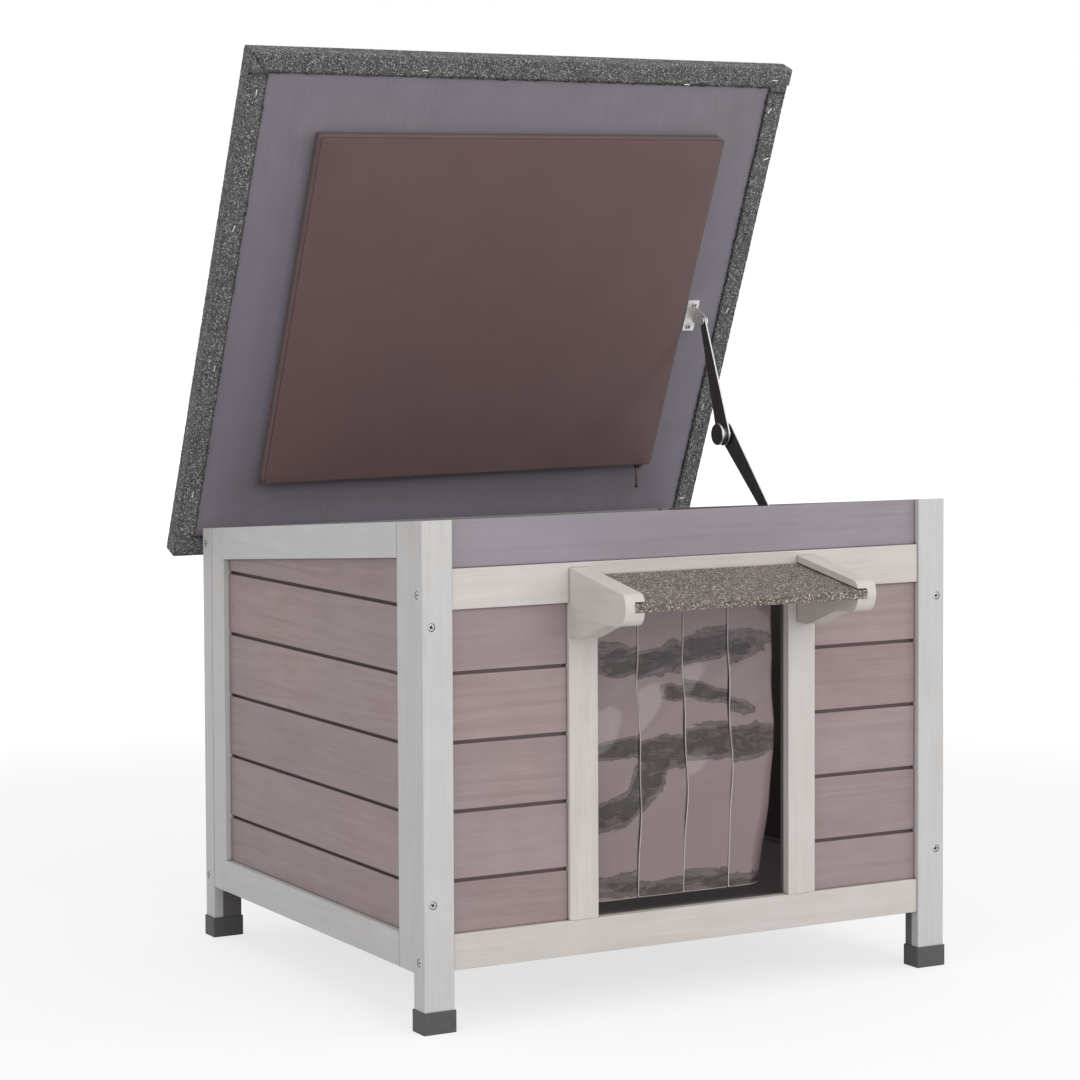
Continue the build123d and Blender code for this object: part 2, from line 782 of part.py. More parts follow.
# Screws: recessed cross-head screws in the posts, low heads on the plates and leaves
def make_screw(plane, radius, height, slot_depth):
    """One screw head standing on a plane, with a cross cut in its top."""
    with BuildPart() as screw:
        with BuildSketch(plane):
            Circle(radius)
        extrude(amount=height)
        with BuildSketch(plane.offset(height - slot_depth)):
            Rectangle(1.3 * radius, 0.3 * radius)
            Rectangle(0.3 * radius, 1.3 * radius)
        extrude(amount=slot_depth, mode=Mode.SUBTRACT)
    return screw.part


def save_screws(screws, label):
    """Write these screws as one piece."""
    with BuildPart() as group:
        add(screws)
    save(group.part, label)


leaf_places = [place + shift for place in hinge_places for shift in (-third, 0, third)]
post_screw_planes = [plane.offset(-recess_depth) for plane in recessed_screws]
body_heads = [make_screw(plane, screw_head, head_height, 1.2) for plane in post_screw_planes]
for place in leaf_places:
    spot = (place, back_y + leaf_thickness, pin_place[2] - leaf_middle)
    body_heads.append(make_screw(screw_plane(spot, (0, 1, 0)), 2.6, 0.9, 0.5))
for spot in wall_screws:
    body_heads.append(make_screw(screw_plane(spot, (-1, 0, 0)), 2.6, 1.3, 0.5))
save_screws(body_heads, "body_screws")

lid_heads = []
for across, up in ((254.3, 246.1), (252.2, 220.8)):
    spot = lid_plane(underside + plate_thickness).from_local_coords((across, up, 0))
    lid_heads.append(make_screw(Plane(spot, x_dir=(1, 0, 0), z_dir=lid_inward), 3.1, 1.1, 0.6))
for place in leaf_places:
    spot = lid_plane(leaf_thickness).from_local_coords((place, -leaf_middle, 0))
    lid_heads.append(make_screw(Plane(spot, x_dir=(1, 0, 0), z_dir=lid_inward), 2.6, 0.9, 0.5))
save_screws(lid_heads, "lid_screws")
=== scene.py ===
"""Cat house with a hinged felt lid: studio, camera, finishes and the dressed pieces."""

import logging
import math
from collections.abc import Sequence
from dataclasses import dataclass, field, replace
from enum import Enum

import bmesh
import bpy
import numpy as np
from mathutils import Matrix, Vector


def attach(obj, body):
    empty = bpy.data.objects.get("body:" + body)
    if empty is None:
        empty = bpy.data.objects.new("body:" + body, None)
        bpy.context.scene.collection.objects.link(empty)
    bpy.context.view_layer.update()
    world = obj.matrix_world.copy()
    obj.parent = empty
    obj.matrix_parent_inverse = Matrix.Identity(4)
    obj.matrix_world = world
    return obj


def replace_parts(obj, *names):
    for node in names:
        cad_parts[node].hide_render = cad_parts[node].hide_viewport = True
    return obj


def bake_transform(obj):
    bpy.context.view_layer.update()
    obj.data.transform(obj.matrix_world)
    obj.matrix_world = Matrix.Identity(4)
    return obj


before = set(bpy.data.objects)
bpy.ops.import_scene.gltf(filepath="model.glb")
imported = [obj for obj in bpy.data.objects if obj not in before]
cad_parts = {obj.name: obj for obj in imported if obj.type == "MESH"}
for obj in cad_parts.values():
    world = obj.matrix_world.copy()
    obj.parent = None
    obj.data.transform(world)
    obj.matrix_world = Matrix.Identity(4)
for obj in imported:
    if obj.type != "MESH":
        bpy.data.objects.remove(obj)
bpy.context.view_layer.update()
LOG = logging.getLogger("cat_house")

MM = 0.001
FRONT_Y = -217.55
DEPTH = 495.0
HALF_WIDTH = 282.5
SIDE_SLATS_FROM = 0.2645
INNER_HALF_WIDTH = 0.2725
INNER_HALF_DEPTH = 0.2365
INNER_TOP = (0.4, 0.46)
Socket = bpy.types.NodeSocket
Colour = tuple[int, int, int]


def linear(colour: Colour) -> tuple[float, float, float, float]:
    """Turn a display colour of 0 to 255 into Blender's linear colour.

    Args:
        colour: Red, green and blue as they look on a screen.

    Returns:
        The same colour as linear red, green, blue and a full alpha.
    """
    parts = [c / 255 for c in colour]
    parts = [c / 12.92 if c <= 0.04045 else ((c + 0.055) / 1.055) ** 2.4 for c in parts]
    return (parts[0], parts[1], parts[2], 1.0)


# ---------------------------------------------------------------- shader building


class Graph:
    """Places and links nodes in one shader tree or node group."""

    def __init__(self, tree: bpy.types.NodeTree) -> None:
        """Keep the tree that the nodes go into."""
        self.tree = tree

    def add(self, kind: str, inputs: dict | None = None, **settings: object) -> bpy.types.Node:
        """Place one node.

        Args:
            kind: Blender's name of the node type.
            inputs: Sockets or constants by input name or index.
            settings: Properties of the node.

        Returns:
            The new node.
        """
        node = self.tree.nodes.new(kind)
        for key, value in settings.items():
            setattr(node, key, value)
        for key, value in (inputs or {}).items():
            self.feed(node.inputs[key], value)
        return node

    def feed(self, socket: Socket, value: object) -> None:
        """Link a socket to an output, or set its constant.

        Args:
            socket: The input to feed.
            value: An output socket or a constant.
        """
        if isinstance(value, bpy.types.NodeSocket):
            self.tree.links.new(value, socket)
        else:
            socket.default_value = value

    def maths(self, operation: str, *values: object, clamp: bool = False) -> Socket:
        """Place a Math node.

        Args:
            operation: The node's operation.
            values: Up to three sockets or numbers.
            clamp: Whether the result is kept between 0 and 1.

        Returns:
            The node's output.
        """
        inputs = dict(enumerate(values))
        return self.add("ShaderNodeMath", inputs, operation=operation, use_clamp=clamp).outputs[0]

    def vector_maths(self, operation: str, first: object, second: object) -> bpy.types.Node:
        """Place a Vector Math node.

        Args:
            operation: The node's operation.
            first: A socket or vector.
            second: A socket or vector.

        Returns:
            The node, whose Vector or Value output the caller takes.
        """
        return self.add("ShaderNodeVectorMath", {0: first, 1: second}, operation=operation)

    def blend(self, low: object, high: object, share: object) -> Socket:
        """Mix two colours.

        Args:
            low: The colour at share 0.
            high: The colour at share 1.
            share: How much of the second colour shows.

        Returns:
            The mixed colour.
        """
        return self.add("ShaderNodeMix", {0: share, 6: low, 7: high}, data_type="RGBA").outputs[2]

    def span(self, value: object, source: tuple[float, float], target: tuple[float, float],
             smooth: bool = False) -> Socket:
        """Carry a value from one range to another, held at the ends.

        Args:
            value: The socket to carry over.
            source: Its own lower and upper limits.
            target: What these limits become.
            smooth: Whether the change eases in and out.

        Returns:
            The value in its new range.
        """
        inputs = {0: value, 1: source[0], 2: source[1], 3: target[0], 4: target[1]}
        kind = "SMOOTHSTEP" if smooth else "LINEAR"
        return self.add("ShaderNodeMapRange", inputs, interpolation_type=kind).outputs[0]

    def noise(self, vector: object, scale: float, detail: float = 3.0, rough: float = 0.5,
              warp: float = 0.0) -> Socket:
        """Place a noise texture.

        Args:
            vector: Where it is read.
            scale: Its frequency, per metre.
            detail: Its octaves.
            rough: How strong the fine octaves are.
            warp: How much it is distorted.

        Returns:
            The noise as a value around 0.5.
        """
        inputs = {"Vector": vector, "Scale": scale, "Detail": detail, "Roughness": rough, "Distortion": warp}
        return self.add("ShaderNodeTexNoise", inputs).outputs[0]

    def stretched(self, vector: object, scale: tuple[float, float, float]) -> Socket:
        """Scale a vector unevenly.

        Args:
            vector: The vector.
            scale: The factor along each axis.

        Returns:
            The scaled vector.
        """
        return self.vector_maths("MULTIPLY", vector, scale).outputs[0]

    def here(self) -> Socket:
        """The object coordinates."""
        return self.add("ShaderNodeTexCoord").outputs["Object"]

    def indoor_shade_mask(self, place: Socket) -> Socket:
        """The mask of the painted shade inside the house: one inside its walls and nought outside, the
        product of three steps.

        Args:
            place: The point, in metres.

        Returns:
            The product.
        """
        parts = self.add("ShaderNodeSeparateXYZ", {0: place}).outputs
        across = self.maths("ABSOLUTE", parts[0])
        across = self.span(across, (INNER_HALF_WIDTH, INNER_HALF_WIDTH + MM), (1.0, 0.0))
        middle = (FRONT_Y + DEPTH / 2) * MM
        deep = self.maths("ABSOLUTE", self.maths("SUBTRACT", parts[1], middle))
        deep = self.span(deep, (INNER_HALF_DEPTH, INNER_HALF_DEPTH + MM), (1.0, 0.0))
        high = self.span(parts[2], INNER_TOP, (1.0, 0.0))
        return self.maths("MULTIPLY", self.maths("MULTIPLY", across, deep), high)

    def bump(self, height: object, distance: float) -> Socket:
        """Turn a height into a normal.

        Args:
            height: The height, 0 to 1.
            distance: What height 1 stands for, in metres.

        Returns:
            The bent normal.
        """
        inputs = {"Height": height, "Distance": distance, "Strength": 1.0}
        return self.add("ShaderNodeBump", inputs).outputs[0]


class Group(Enum):
    """The shader node groups that several finishes share."""

    GRAIN = "wood grain"
    SLATS = "slat by slat"
    MOTTLE = "broad mottle"
    GRANULES = "mineral granules"
    WEAVE = "plain weave"
    SCUFFS = "metal scuffs"


def new_group(group: Group, inputs: dict[str, str], outputs: Sequence[str]) -> tuple[Graph, dict]:
    """Start a shader node group.

    Args:
        group: Which group it is.
        inputs: The kind of each input socket by name, such as Float or Vector.
        outputs: The names of its value outputs.

    Returns:
        The group's graph, and its input sockets by name with the output node under "out".
    """
    tree = bpy.data.node_groups.new(group.value, "ShaderNodeTree")
    for name, kind in inputs.items():
        tree.interface.new_socket(name, in_out="INPUT", socket_type=f"NodeSocket{kind}")
    for name in outputs:
        tree.interface.new_socket(name, in_out="OUTPUT", socket_type="NodeSocketFloat")
    graph = Graph(tree)
    entry = graph.add("NodeGroupInput")
    ends = {name: entry.outputs[name] for name in inputs}
    ends["out"] = graph.add("NodeGroupOutput")
    return graph, ends


def give(graph: Graph, ends: dict, **values: Socket) -> None:
    """Link a group's results to its outputs.

    Args:
        graph: The group's graph.
        ends: Its sockets, with the output node under "out".
        values: The results by output name.
    """
    for name, value in values.items():
        graph.feed(ends["out"].inputs[name], value)


def make_grain_group() -> None:
    """Wood grain along the vector's X.

    Fibres are noise stretched 60 times along the grain. Rings are the contour lines of a
    broad stretched noise, as a board sawn along the log shows them. Pores are the thinnest
    dark ends of the fibres.
    """
    graph, ends = new_group(Group.GRAIN, {"Vector": "Vector"}, ("Fibre", "Rings", "Height"))
    bend = graph.noise(graph.stretched(ends["Vector"], (2.2, 9, 9)), 1.0, 2.0)
    lean = graph.maths("MULTIPLY", graph.maths("SUBTRACT", bend, 0.5), 0.012)
    lift = graph.add("ShaderNodeCombineXYZ", {0: 0.0, 1: lean, 2: lean}).outputs[0]
    curved = graph.vector_maths("ADD", ends["Vector"], lift).outputs[0]
    fibre = graph.noise(graph.stretched(curved, (16, 900, 900)), 1.0, 4.0, 0.6)
    field_of_rings = graph.noise(graph.stretched(curved, (1.1, 24, 24)), 1.0, 2.0, 0.45)
    wave = graph.maths("SINE", graph.maths("MULTIPLY", field_of_rings, 46.0))
    rings = graph.span(wave, (-0.9, 1.0), (0.0, 1.0), smooth=True)
    height = graph.maths("MULTIPLY_ADD", fibre, 0.7, graph.maths("MULTIPLY", rings, 0.3))
    give(graph, ends, Fibre=fibre, Rings=rings, Height=height)


def make_slats_group() -> None:
    """One random value for each slat, from its height above the first gap.

    Slats in the side walls and left and right of the door differ by the sign of X.
    """
    kinds = {"Vector": "Vector", "Start": "Float", "Pitch": "Float"}
    graph, ends = new_group(Group.SLATS, kinds, ("Chance",))
    height = graph.add("ShaderNodeSeparateXYZ", {0: ends["Vector"]})
    steps = graph.maths("DIVIDE", graph.maths("SUBTRACT", height.outputs[2], ends["Start"]), ends["Pitch"])
    in_side = graph.maths("GREATER_THAN", graph.maths("ABSOLUTE", height.outputs[0]), SIDE_SLATS_FROM)
    in_front = graph.maths("LESS_THAN", height.outputs[1], 0.0)
    sided = graph.maths("MAXIMUM", in_side, in_front)
    side = graph.maths("MULTIPLY", graph.maths("SIGN", height.outputs[0]), sided)
    seed = graph.maths("MULTIPLY_ADD", side, 17.0, graph.maths("FLOOR", steps))
    chance = graph.add("ShaderNodeTexWhiteNoise", {"W": seed}, noise_dimensions="1D")
    give(graph, ends, Chance=chance.outputs[0])


def make_mottle_group() -> None:
    """Broad soft patches, and a finer cloud over them."""
    graph, ends = new_group(Group.MOTTLE, {"Vector": "Vector", "Scale": "Float"}, ("Patch", "Cloud"))
    scaled = graph.vector_maths("SCALE", ends["Vector"], (0, 0, 0))
    graph.feed(scaled.inputs["Scale"], ends["Scale"])
    patch = graph.noise(scaled.outputs[0], 1.0, 2.0, 0.5, 0.3)
    cloud = graph.noise(scaled.outputs[0], 5.0, 4.0, 0.6)
    patch, cloud = (graph.span(value, (0.3, 0.7), (0.0, 1.0)) for value in (patch, cloud))
    give(graph, ends, Patch=patch, Cloud=cloud)


def make_granules_group() -> None:
    """Crushed mineral on felt: two sizes of random cells, their heights and the tar between."""
    kinds = {"Vector": "Vector", "Scale": "Float"}
    graph, ends = new_group(Group.GRANULES, kinds, ("Tone", "Fleck", "Height"))
    outs = []
    for size in (1.0, 2.1):
        cell = graph.add("ShaderNodeTexVoronoi", {"Vector": ends["Vector"]})
        graph.feed(cell.inputs["Scale"], graph.maths("MULTIPLY", ends["Scale"], size))
        chance = graph.add("ShaderNodeSeparateColor", {0: cell.outputs["Color"]})
        outs.append((chance.outputs[0], chance.outputs[1], cell.outputs["Distance"]))
    tone = graph.maths("MULTIPLY_ADD", outs[0][0], 0.6, graph.maths("MULTIPLY", outs[1][0], 0.4))
    fleck = graph.span(outs[0][1], (0.88, 0.93), (0.0, 1.0))
    near = graph.span(outs[0][2], (0.0, 0.55), (1.0, 0.0), smooth=True)
    fine = graph.span(outs[1][2], (0.0, 0.55), (1.0, 0.0), smooth=True)
    fine = graph.maths("MULTIPLY", fine, 0.35)
    height = graph.maths("MULTIPLY_ADD", near, graph.maths("ADD", outs[0][0], 0.35), fine)
    give(graph, ends, Tone=tone, Fleck=fleck, Height=height)


def make_weave_group() -> None:
    """Plain weave: threads cross over and under in a chequer of half sine waves."""
    graph, ends = new_group(Group.WEAVE, {"Vector": "Vector", "Pitch": "Float"}, ("Thread", "Height"))
    parts = graph.add("ShaderNodeSeparateXYZ", {0: ends["Vector"]})
    turns = [graph.maths("DIVIDE", parts.outputs[i], ends["Pitch"]) for i in (0, 1)]
    waves = [graph.maths("SINE", graph.maths("MULTIPLY", turn, math.pi)) for turn in turns]
    weft, warp = (graph.maths("ABSOLUTE", wave) for wave in waves)
    over = graph.maths("GREATER_THAN", graph.maths("MULTIPLY", waves[0], waves[1]), 0.0)
    thread = graph.maths("ADD", graph.maths("MULTIPLY", weft, over),
                         graph.maths("MULTIPLY", warp, graph.maths("SUBTRACT", 1.0, over)))
    give(graph, ends, Thread=over, Height=thread)


def make_scuffs_group() -> None:
    """Fine drawn lines, handling marks and dull patches of a worked metal."""
    graph, ends = new_group(Group.SCUFFS, {"Vector": "Vector"}, ("Lines", "Dull"))
    lines = graph.noise(graph.stretched(ends["Vector"], (900, 900, 60)), 1.0, 3.0, 0.6)
    dull = graph.noise(ends["Vector"], 160.0, 4.0, 0.65, 0.4)
    give(graph, ends, Lines=lines, Dull=graph.span(dull, (0.35, 0.7), (0.0, 1.0)))


def make_groups() -> None:
    """Make every shared group once."""
    for make in (make_grain_group, make_slats_group, make_mottle_group, make_granules_group,
                 make_weave_group, make_scuffs_group):
        make()


class Finish:
    """What every finish shares: a new material with its graph and its Principled shader."""

    name: str

    def start(self, roughness: float, metallic: float = 0.0, **constants: object) -> tuple:
        """Make the material.

        Args:
            roughness: The shader's plain roughness.
            metallic: The shader's plain metallic value.
            constants: Further constants of the shader, with _ for a space in the name.

        Returns:
            The material, its graph and its Principled shader.
        """
        material = bpy.data.materials.new(self.name)
        material.use_nodes = True
        graph = Graph(material.node_tree)
        shader = material.node_tree.nodes["Principled BSDF"]
        shader.inputs["Roughness"].default_value = roughness
        shader.inputs["Metallic"].default_value = metallic
        for key, value in constants.items():
            shader.inputs[key.replace("_", " ")].default_value = value
        return material, graph, shader

    @staticmethod
    def close(graph: Graph, shader: bpy.types.Node, colour: Socket, rough: Socket, height: Socket,
              depth: float) -> None:
        """Feed the shader's colour, roughness and normal.

        Args:
            graph: The material's graph.
            shader: Its Principled shader.
            colour: What the base colour reads.
            rough: What the roughness reads.
            height: The relief, 0 to 1.
            depth: What relief 1 stands for, in metres.
        """
        graph.feed(shader.inputs["Base Color"], colour)
        graph.feed(shader.inputs["Roughness"], rough)
        graph.feed(shader.inputs["Normal"], graph.bump(height, depth))

    @staticmethod
    def group(graph: Graph, group: Group, inputs: dict) -> bpy.types.Node:
        """Place one of the shared groups.

        Args:
            graph: The material's graph.
            group: Which group.
            inputs: Its inputs by name.

        Returns:
            The group node.
        """
        node = graph.add("ShaderNodeGroup", node_tree=bpy.data.node_groups[group.value])
        for key, value in inputs.items():
            graph.feed(node.inputs[key], value)
        return node


class Grain(Enum):
    """Which way a board's grain runs, as the order of axes that puts the grain first."""

    ACROSS = (0, 1, 2)
    DEEP = (1, 0, 2)
    UPRIGHT = (2, 1, 0)


@dataclass(frozen=True)
class WoodFinish(Finish):
    """Stained softwood: fibres and rings show through a thin coat, with painted shade inside the house and in
    grooves, corners and joints.
    """

    name: str
    light: Colour
    dark: Colour
    cool: Colour
    grain: Grain
    fibre: float = 0.5
    rings: float = 0.25
    patches: float = 0.5
    rough: float = 0.55
    slats: tuple[float, float] | None = None
    relief: float = 0.00015
    joint: float = 3.0
    indoor_shade: Colour = (44, 31, 33)

    def build(self) -> bpy.types.Material:
        """Make the wood's material.

        Returns:
            The material.
        """
        material, graph, shader = self.start(self.rough, Specular_IOR_Level=0.35)
        here = graph.here()
        parts = graph.add("ShaderNodeSeparateXYZ", {0: here})
        order = self.grain.value
        turned = graph.add("ShaderNodeCombineXYZ", {i: parts.outputs[order[i]] for i in range(3)}).outputs[0]
        tint = 0.5
        if self.slats:
            inputs = {"Vector": here, "Start": self.slats[0] * MM, "Pitch": self.slats[1] * MM}
            tint = self.group(graph, Group.SLATS, inputs).outputs["Chance"]
            jump = graph.add("ShaderNodeCombineXYZ", {0: graph.maths("MULTIPLY", tint, 3.0), 1: tint, 2: 0.0})
            turned = graph.vector_maths("ADD", turned, jump.outputs[0]).outputs[0]
        grain = self.group(graph, Group.GRAIN, {"Vector": turned})
        mottle = self.group(graph, Group.MOTTLE, {"Vector": turned, "Scale": 4.5})
        fibre = graph.span(grain.outputs["Fibre"], (0.32, 0.72), (0.0, 1.0))
        rings = graph.maths("MULTIPLY", grain.outputs["Rings"], self.rings)
        depth = graph.maths("MULTIPLY_ADD", fibre, self.fibre, rings)
        depth = graph.maths("MULTIPLY_ADD", mottle.outputs["Cloud"], 0.25, depth)
        depth = graph.maths("MULTIPLY_ADD", tint, 0.2, depth, clamp=True)
        colour = graph.blend(linear(self.light), linear(self.dark), depth)
        share = graph.maths("MULTIPLY", mottle.outputs["Patch"], self.patches)
        colour = graph.blend(colour, linear(self.cool), share)
        # Painted shade: wood inside the house's walls is darkened towards a dark brown.
        colour = graph.blend(colour, linear(self.indoor_shade), graph.maths("MULTIPLY", graph.indoor_shade_mask(here), 0.82))
        # Painted shade: ambient occlusion within a few millimetres darkens grooves, corners and joints
        # between boards towards a dark tone of the stain.
        corner = graph.add("ShaderNodeAmbientOcclusion", {"Distance": self.joint * MM}, samples=8)
        open_air = graph.span(corner.outputs["AO"], (0.3, 0.85), (0.0, 1.0))
        seam = tuple(0.3 * part for part in linear(self.dark)[:3]) + (1.0,)
        colour = graph.blend(seam, colour, open_air)
        rough = graph.span(fibre, (0.0, 1.0), (self.rough - 0.06, self.rough + 0.1))
        self.close(graph, shader, colour, rough, grain.outputs["Height"], self.relief)
        return material


@dataclass(frozen=True)
class PlyFinish(Finish):
    """Stained plywood under the lid, its grain up the lid and its edge in veneers."""

    name: str
    light: Colour
    dark: Colour
    cool: Colour
    up: tuple[float, float, float]
    inward: tuple[float, float, float]

    def build(self) -> bpy.types.Material:
        """Make the plywood's material.

        Returns:
            The material.
        """
        material, graph, shader = self.start(0.5, Specular_IOR_Level=0.4)
        here = graph.here()
        across = graph.add("ShaderNodeSeparateXYZ", {0: here}).outputs[0]
        rise = graph.vector_maths("DOT_PRODUCT", here, self.up).outputs["Value"]
        deep = graph.vector_maths("DOT_PRODUCT", here, self.inward).outputs["Value"]
        board = graph.add("ShaderNodeCombineXYZ", {0: rise, 1: across, 2: deep}).outputs[0]
        grain = self.group(graph, Group.GRAIN, {"Vector": board})
        mottle = self.group(graph, Group.MOTTLE, {"Vector": board, "Scale": 5.0})
        fibre = graph.span(grain.outputs["Fibre"], (0.32, 0.72), (0.0, 1.0))
        rings = graph.maths("MULTIPLY", grain.outputs["Rings"], 0.06)
        depth = graph.maths("MULTIPLY_ADD", fibre, 0.28, rings)
        depth = graph.maths("MULTIPLY_ADD", mottle.outputs["Cloud"], 0.3, depth, clamp=True)
        colour = graph.blend(linear(self.light), linear(self.dark), depth)
        share = graph.maths("MULTIPLY", mottle.outputs["Patch"], 0.5)
        colour = graph.blend(colour, linear(self.cool), share)
        rough = graph.span(mottle.outputs["Cloud"], (0.0, 1.0), (0.42, 0.58))
        self.close(graph, shader, colour, rough, grain.outputs["Height"], 0.00015)
        return material


@dataclass(frozen=True)
class FeltFinish(Finish):
    """Roofing felt under crushed mineral, dark tar between pale and dark grains, with painted shade along the
    folds of the lid's felt.
    """

    name: str
    tar: Colour
    grey: Colour
    pale: Colour
    scale: float = 880.0

    def build(self) -> bpy.types.Material:
        """Make the felt's material.

        Returns:
            The material.
        """
        material, graph, shader = self.start(0.85, Specular_IOR_Level=0.3)
        here = graph.here()
        granules = self.group(graph, Group.GRANULES, {"Vector": here, "Scale": self.scale})
        mottle = self.group(graph, Group.MOTTLE, {"Vector": here, "Scale": 9.0})
        tone = graph.span(granules.outputs["Tone"], (0.15, 0.85), (0.0, 1.0))
        tone = graph.maths("MULTIPLY", tone, 0.9)
        tone = graph.maths("MULTIPLY_ADD", mottle.outputs["Cloud"], 0.2, tone, clamp=True)
        colour = graph.blend(linear(self.tar), linear(self.grey), tone)
        colour = graph.blend(colour, linear(self.pale), granules.outputs["Fleck"])
        # Painted shade: the felt darkens towards the tar colour along the top fold's lap, down the mitre
        # creases and along the fold's lip.
        lap = graph.add("ShaderNodeAttribute", attribute_name="lap").outputs["Fac"]
        colour = graph.blend(colour, linear(self.tar), graph.maths("MULTIPLY", lap, 0.75, clamp=True))
        rough = graph.span(granules.outputs["Fleck"], (0.0, 1.0), (0.9, 0.45))
        self.close(graph, shader, colour, rough, granules.outputs["Height"], 0.0007)
        return material


@dataclass(frozen=True)
class RubberFinish(Finish):
    """Moulded rubber or plastic: a fine spark texture, and dust on its broad patches."""

    name: str
    body: Colour
    dusty: Colour

    def build(self) -> bpy.types.Material:
        """Make the rubber's material.

        Returns:
            The material.
        """
        material, graph, shader = self.start(0.6, Specular_IOR_Level=0.4)
        here = graph.here()
        mottle = self.group(graph, Group.MOTTLE, {"Vector": here, "Scale": 30.0})
        spark = graph.noise(here, 1900.0, 2.0, 0.6)
        share = graph.maths("MULTIPLY", mottle.outputs["Cloud"], 0.6)
        colour = graph.blend(linear(self.body), linear(self.dusty), share)
        rough = graph.span(mottle.outputs["Cloud"], (0.0, 1.0), (0.5, 0.75))
        self.close(graph, shader, colour, rough, spark, 0.00012)
        return material


@dataclass(frozen=True)
class MetalFinish(Finish):
    """Plated or coated steel with drawn lines and dull patches.

    A painted highlight in the edge colour shows on faces that look away from X, the edges
    that catch the light, and the same colour shows in the collar, a range across in
    millimetres. Painted shade in the cavity colour shows where the piece's own "cavity"
    value is high.
    """

    name: str
    bright: Colour
    dull: Colour
    metallic: float
    rough: tuple[float, float]
    edge: Colour | None = None
    cavity: Colour | None = None
    collar: tuple[float, float] = (0.0, 0.0)

    def build(self) -> bpy.types.Material:
        """Make the metal's material.

        Returns:
            The material.
        """
        material, graph, shader = self.start(self.rough[0], self.metallic)
        scuffs = self.group(graph, Group.SCUFFS, {"Vector": graph.here()})
        wear = graph.maths("MULTIPLY_ADD", scuffs.outputs["Lines"], 0.5,
                           graph.maths("MULTIPLY", scuffs.outputs["Dull"], 0.5), clamp=True)
        colour = graph.blend(linear(self.bright), linear(self.dull), wear)
        # Painted highlight: faces that look away from X, the edges of the stay's arms, take the edge colour;
        # the collar band takes the same bright colour.
        if self.edge:
            normal = graph.add("ShaderNodeTexCoord").outputs["Normal"]
            facing = graph.add("ShaderNodeSeparateXYZ", {0: normal})
            highlight_and_collar = graph.span(graph.maths("ABSOLUTE", facing.outputs[0]), (0.3, 0.8), (1.0, 0.0))
            across = graph.add("ShaderNodeSeparateXYZ", {0: graph.here()}).outputs[0]
            start, end = (limit * MM for limit in self.collar)
            past = graph.maths("ABSOLUTE", graph.maths("SUBTRACT", across, (start + end) / 2))
            half = (end - start) / 2
            collar = graph.span(past, (half, half + 0.0002), (1.0, 0.0))
            highlight_and_collar = graph.maths("MULTIPLY", graph.maths("MAXIMUM", highlight_and_collar, collar), 0.9)
            colour = graph.blend(colour, linear(self.edge), highlight_and_collar)
        # Painted shade: the screws' cross slots darken towards this colour by how deep they lie.
        if self.cavity:
            depth = graph.add("ShaderNodeAttribute", attribute_name="cavity").outputs["Fac"]
            colour = graph.blend(colour, linear(self.cavity), graph.span(depth, (0.15, 0.6), (0.0, 1.0)))
        rough = graph.span(wear, (0.0, 1.0), self.rough)
        self.close(graph, shader, colour, rough, scuffs.outputs["Lines"], 0.00003)
        return material


@dataclass(frozen=True)
class ClothFinish(Finish):
    """Close woven polyester cloth, read from the piece's own map in metres.

    Its "seam" value is above 0 where a painted highlight runs along a seam's raised edge, and below 0 where
    painted shade runs in a seam's groove.
    """

    name: str
    body: Colour
    dark: Colour
    warm: Colour
    ridge_highlight: Colour = (134, 104, 104)
    groove_shade: Colour = (44, 26, 30)
    pitch: float = 0.55

    def build(self) -> bpy.types.Material:
        """Make the cloth's material.

        Returns:
            The material.
        """
        material, graph, shader = self.start(0.8, Sheen_Weight=0.25, Sheen_Roughness=0.4)
        laid = graph.add("ShaderNodeUVMap", uv_map="cloth").outputs[0]
        weave = self.group(graph, Group.WEAVE, {"Vector": laid, "Pitch": self.pitch * MM})
        mottle = self.group(graph, Group.MOTTLE, {"Vector": laid, "Scale": 4.0})
        shade = graph.maths("MULTIPLY_ADD", weave.outputs["Height"], -0.35, 0.4)
        shade = graph.maths("MULTIPLY_ADD", mottle.outputs["Cloud"], 0.25, shade, clamp=True)
        colour = graph.blend(linear(self.body), linear(self.dark), shade)
        share = graph.maths("MULTIPLY", mottle.outputs["Patch"], 0.6)
        colour = graph.blend(colour, linear(self.warm), share)
        # Painted highlight along the seams' raised edges and painted shade in their grooves.
        seam = graph.add("ShaderNodeAttribute", attribute_name="seam").outputs["Fac"]
        colour = graph.blend(colour, linear(self.ridge_highlight), graph.span(seam, (0.1, 0.9), (0.0, 0.6)))
        colour = graph.blend(colour, linear(self.groove_shade), graph.span(seam, (-0.9, -0.15), (0.85, 0.0)))
        rough = graph.span(weave.outputs["Thread"], (0.0, 1.0), (0.72, 0.85))
        self.close(graph, shader, colour, rough, weave.outputs["Height"], 0.0002)
        return material


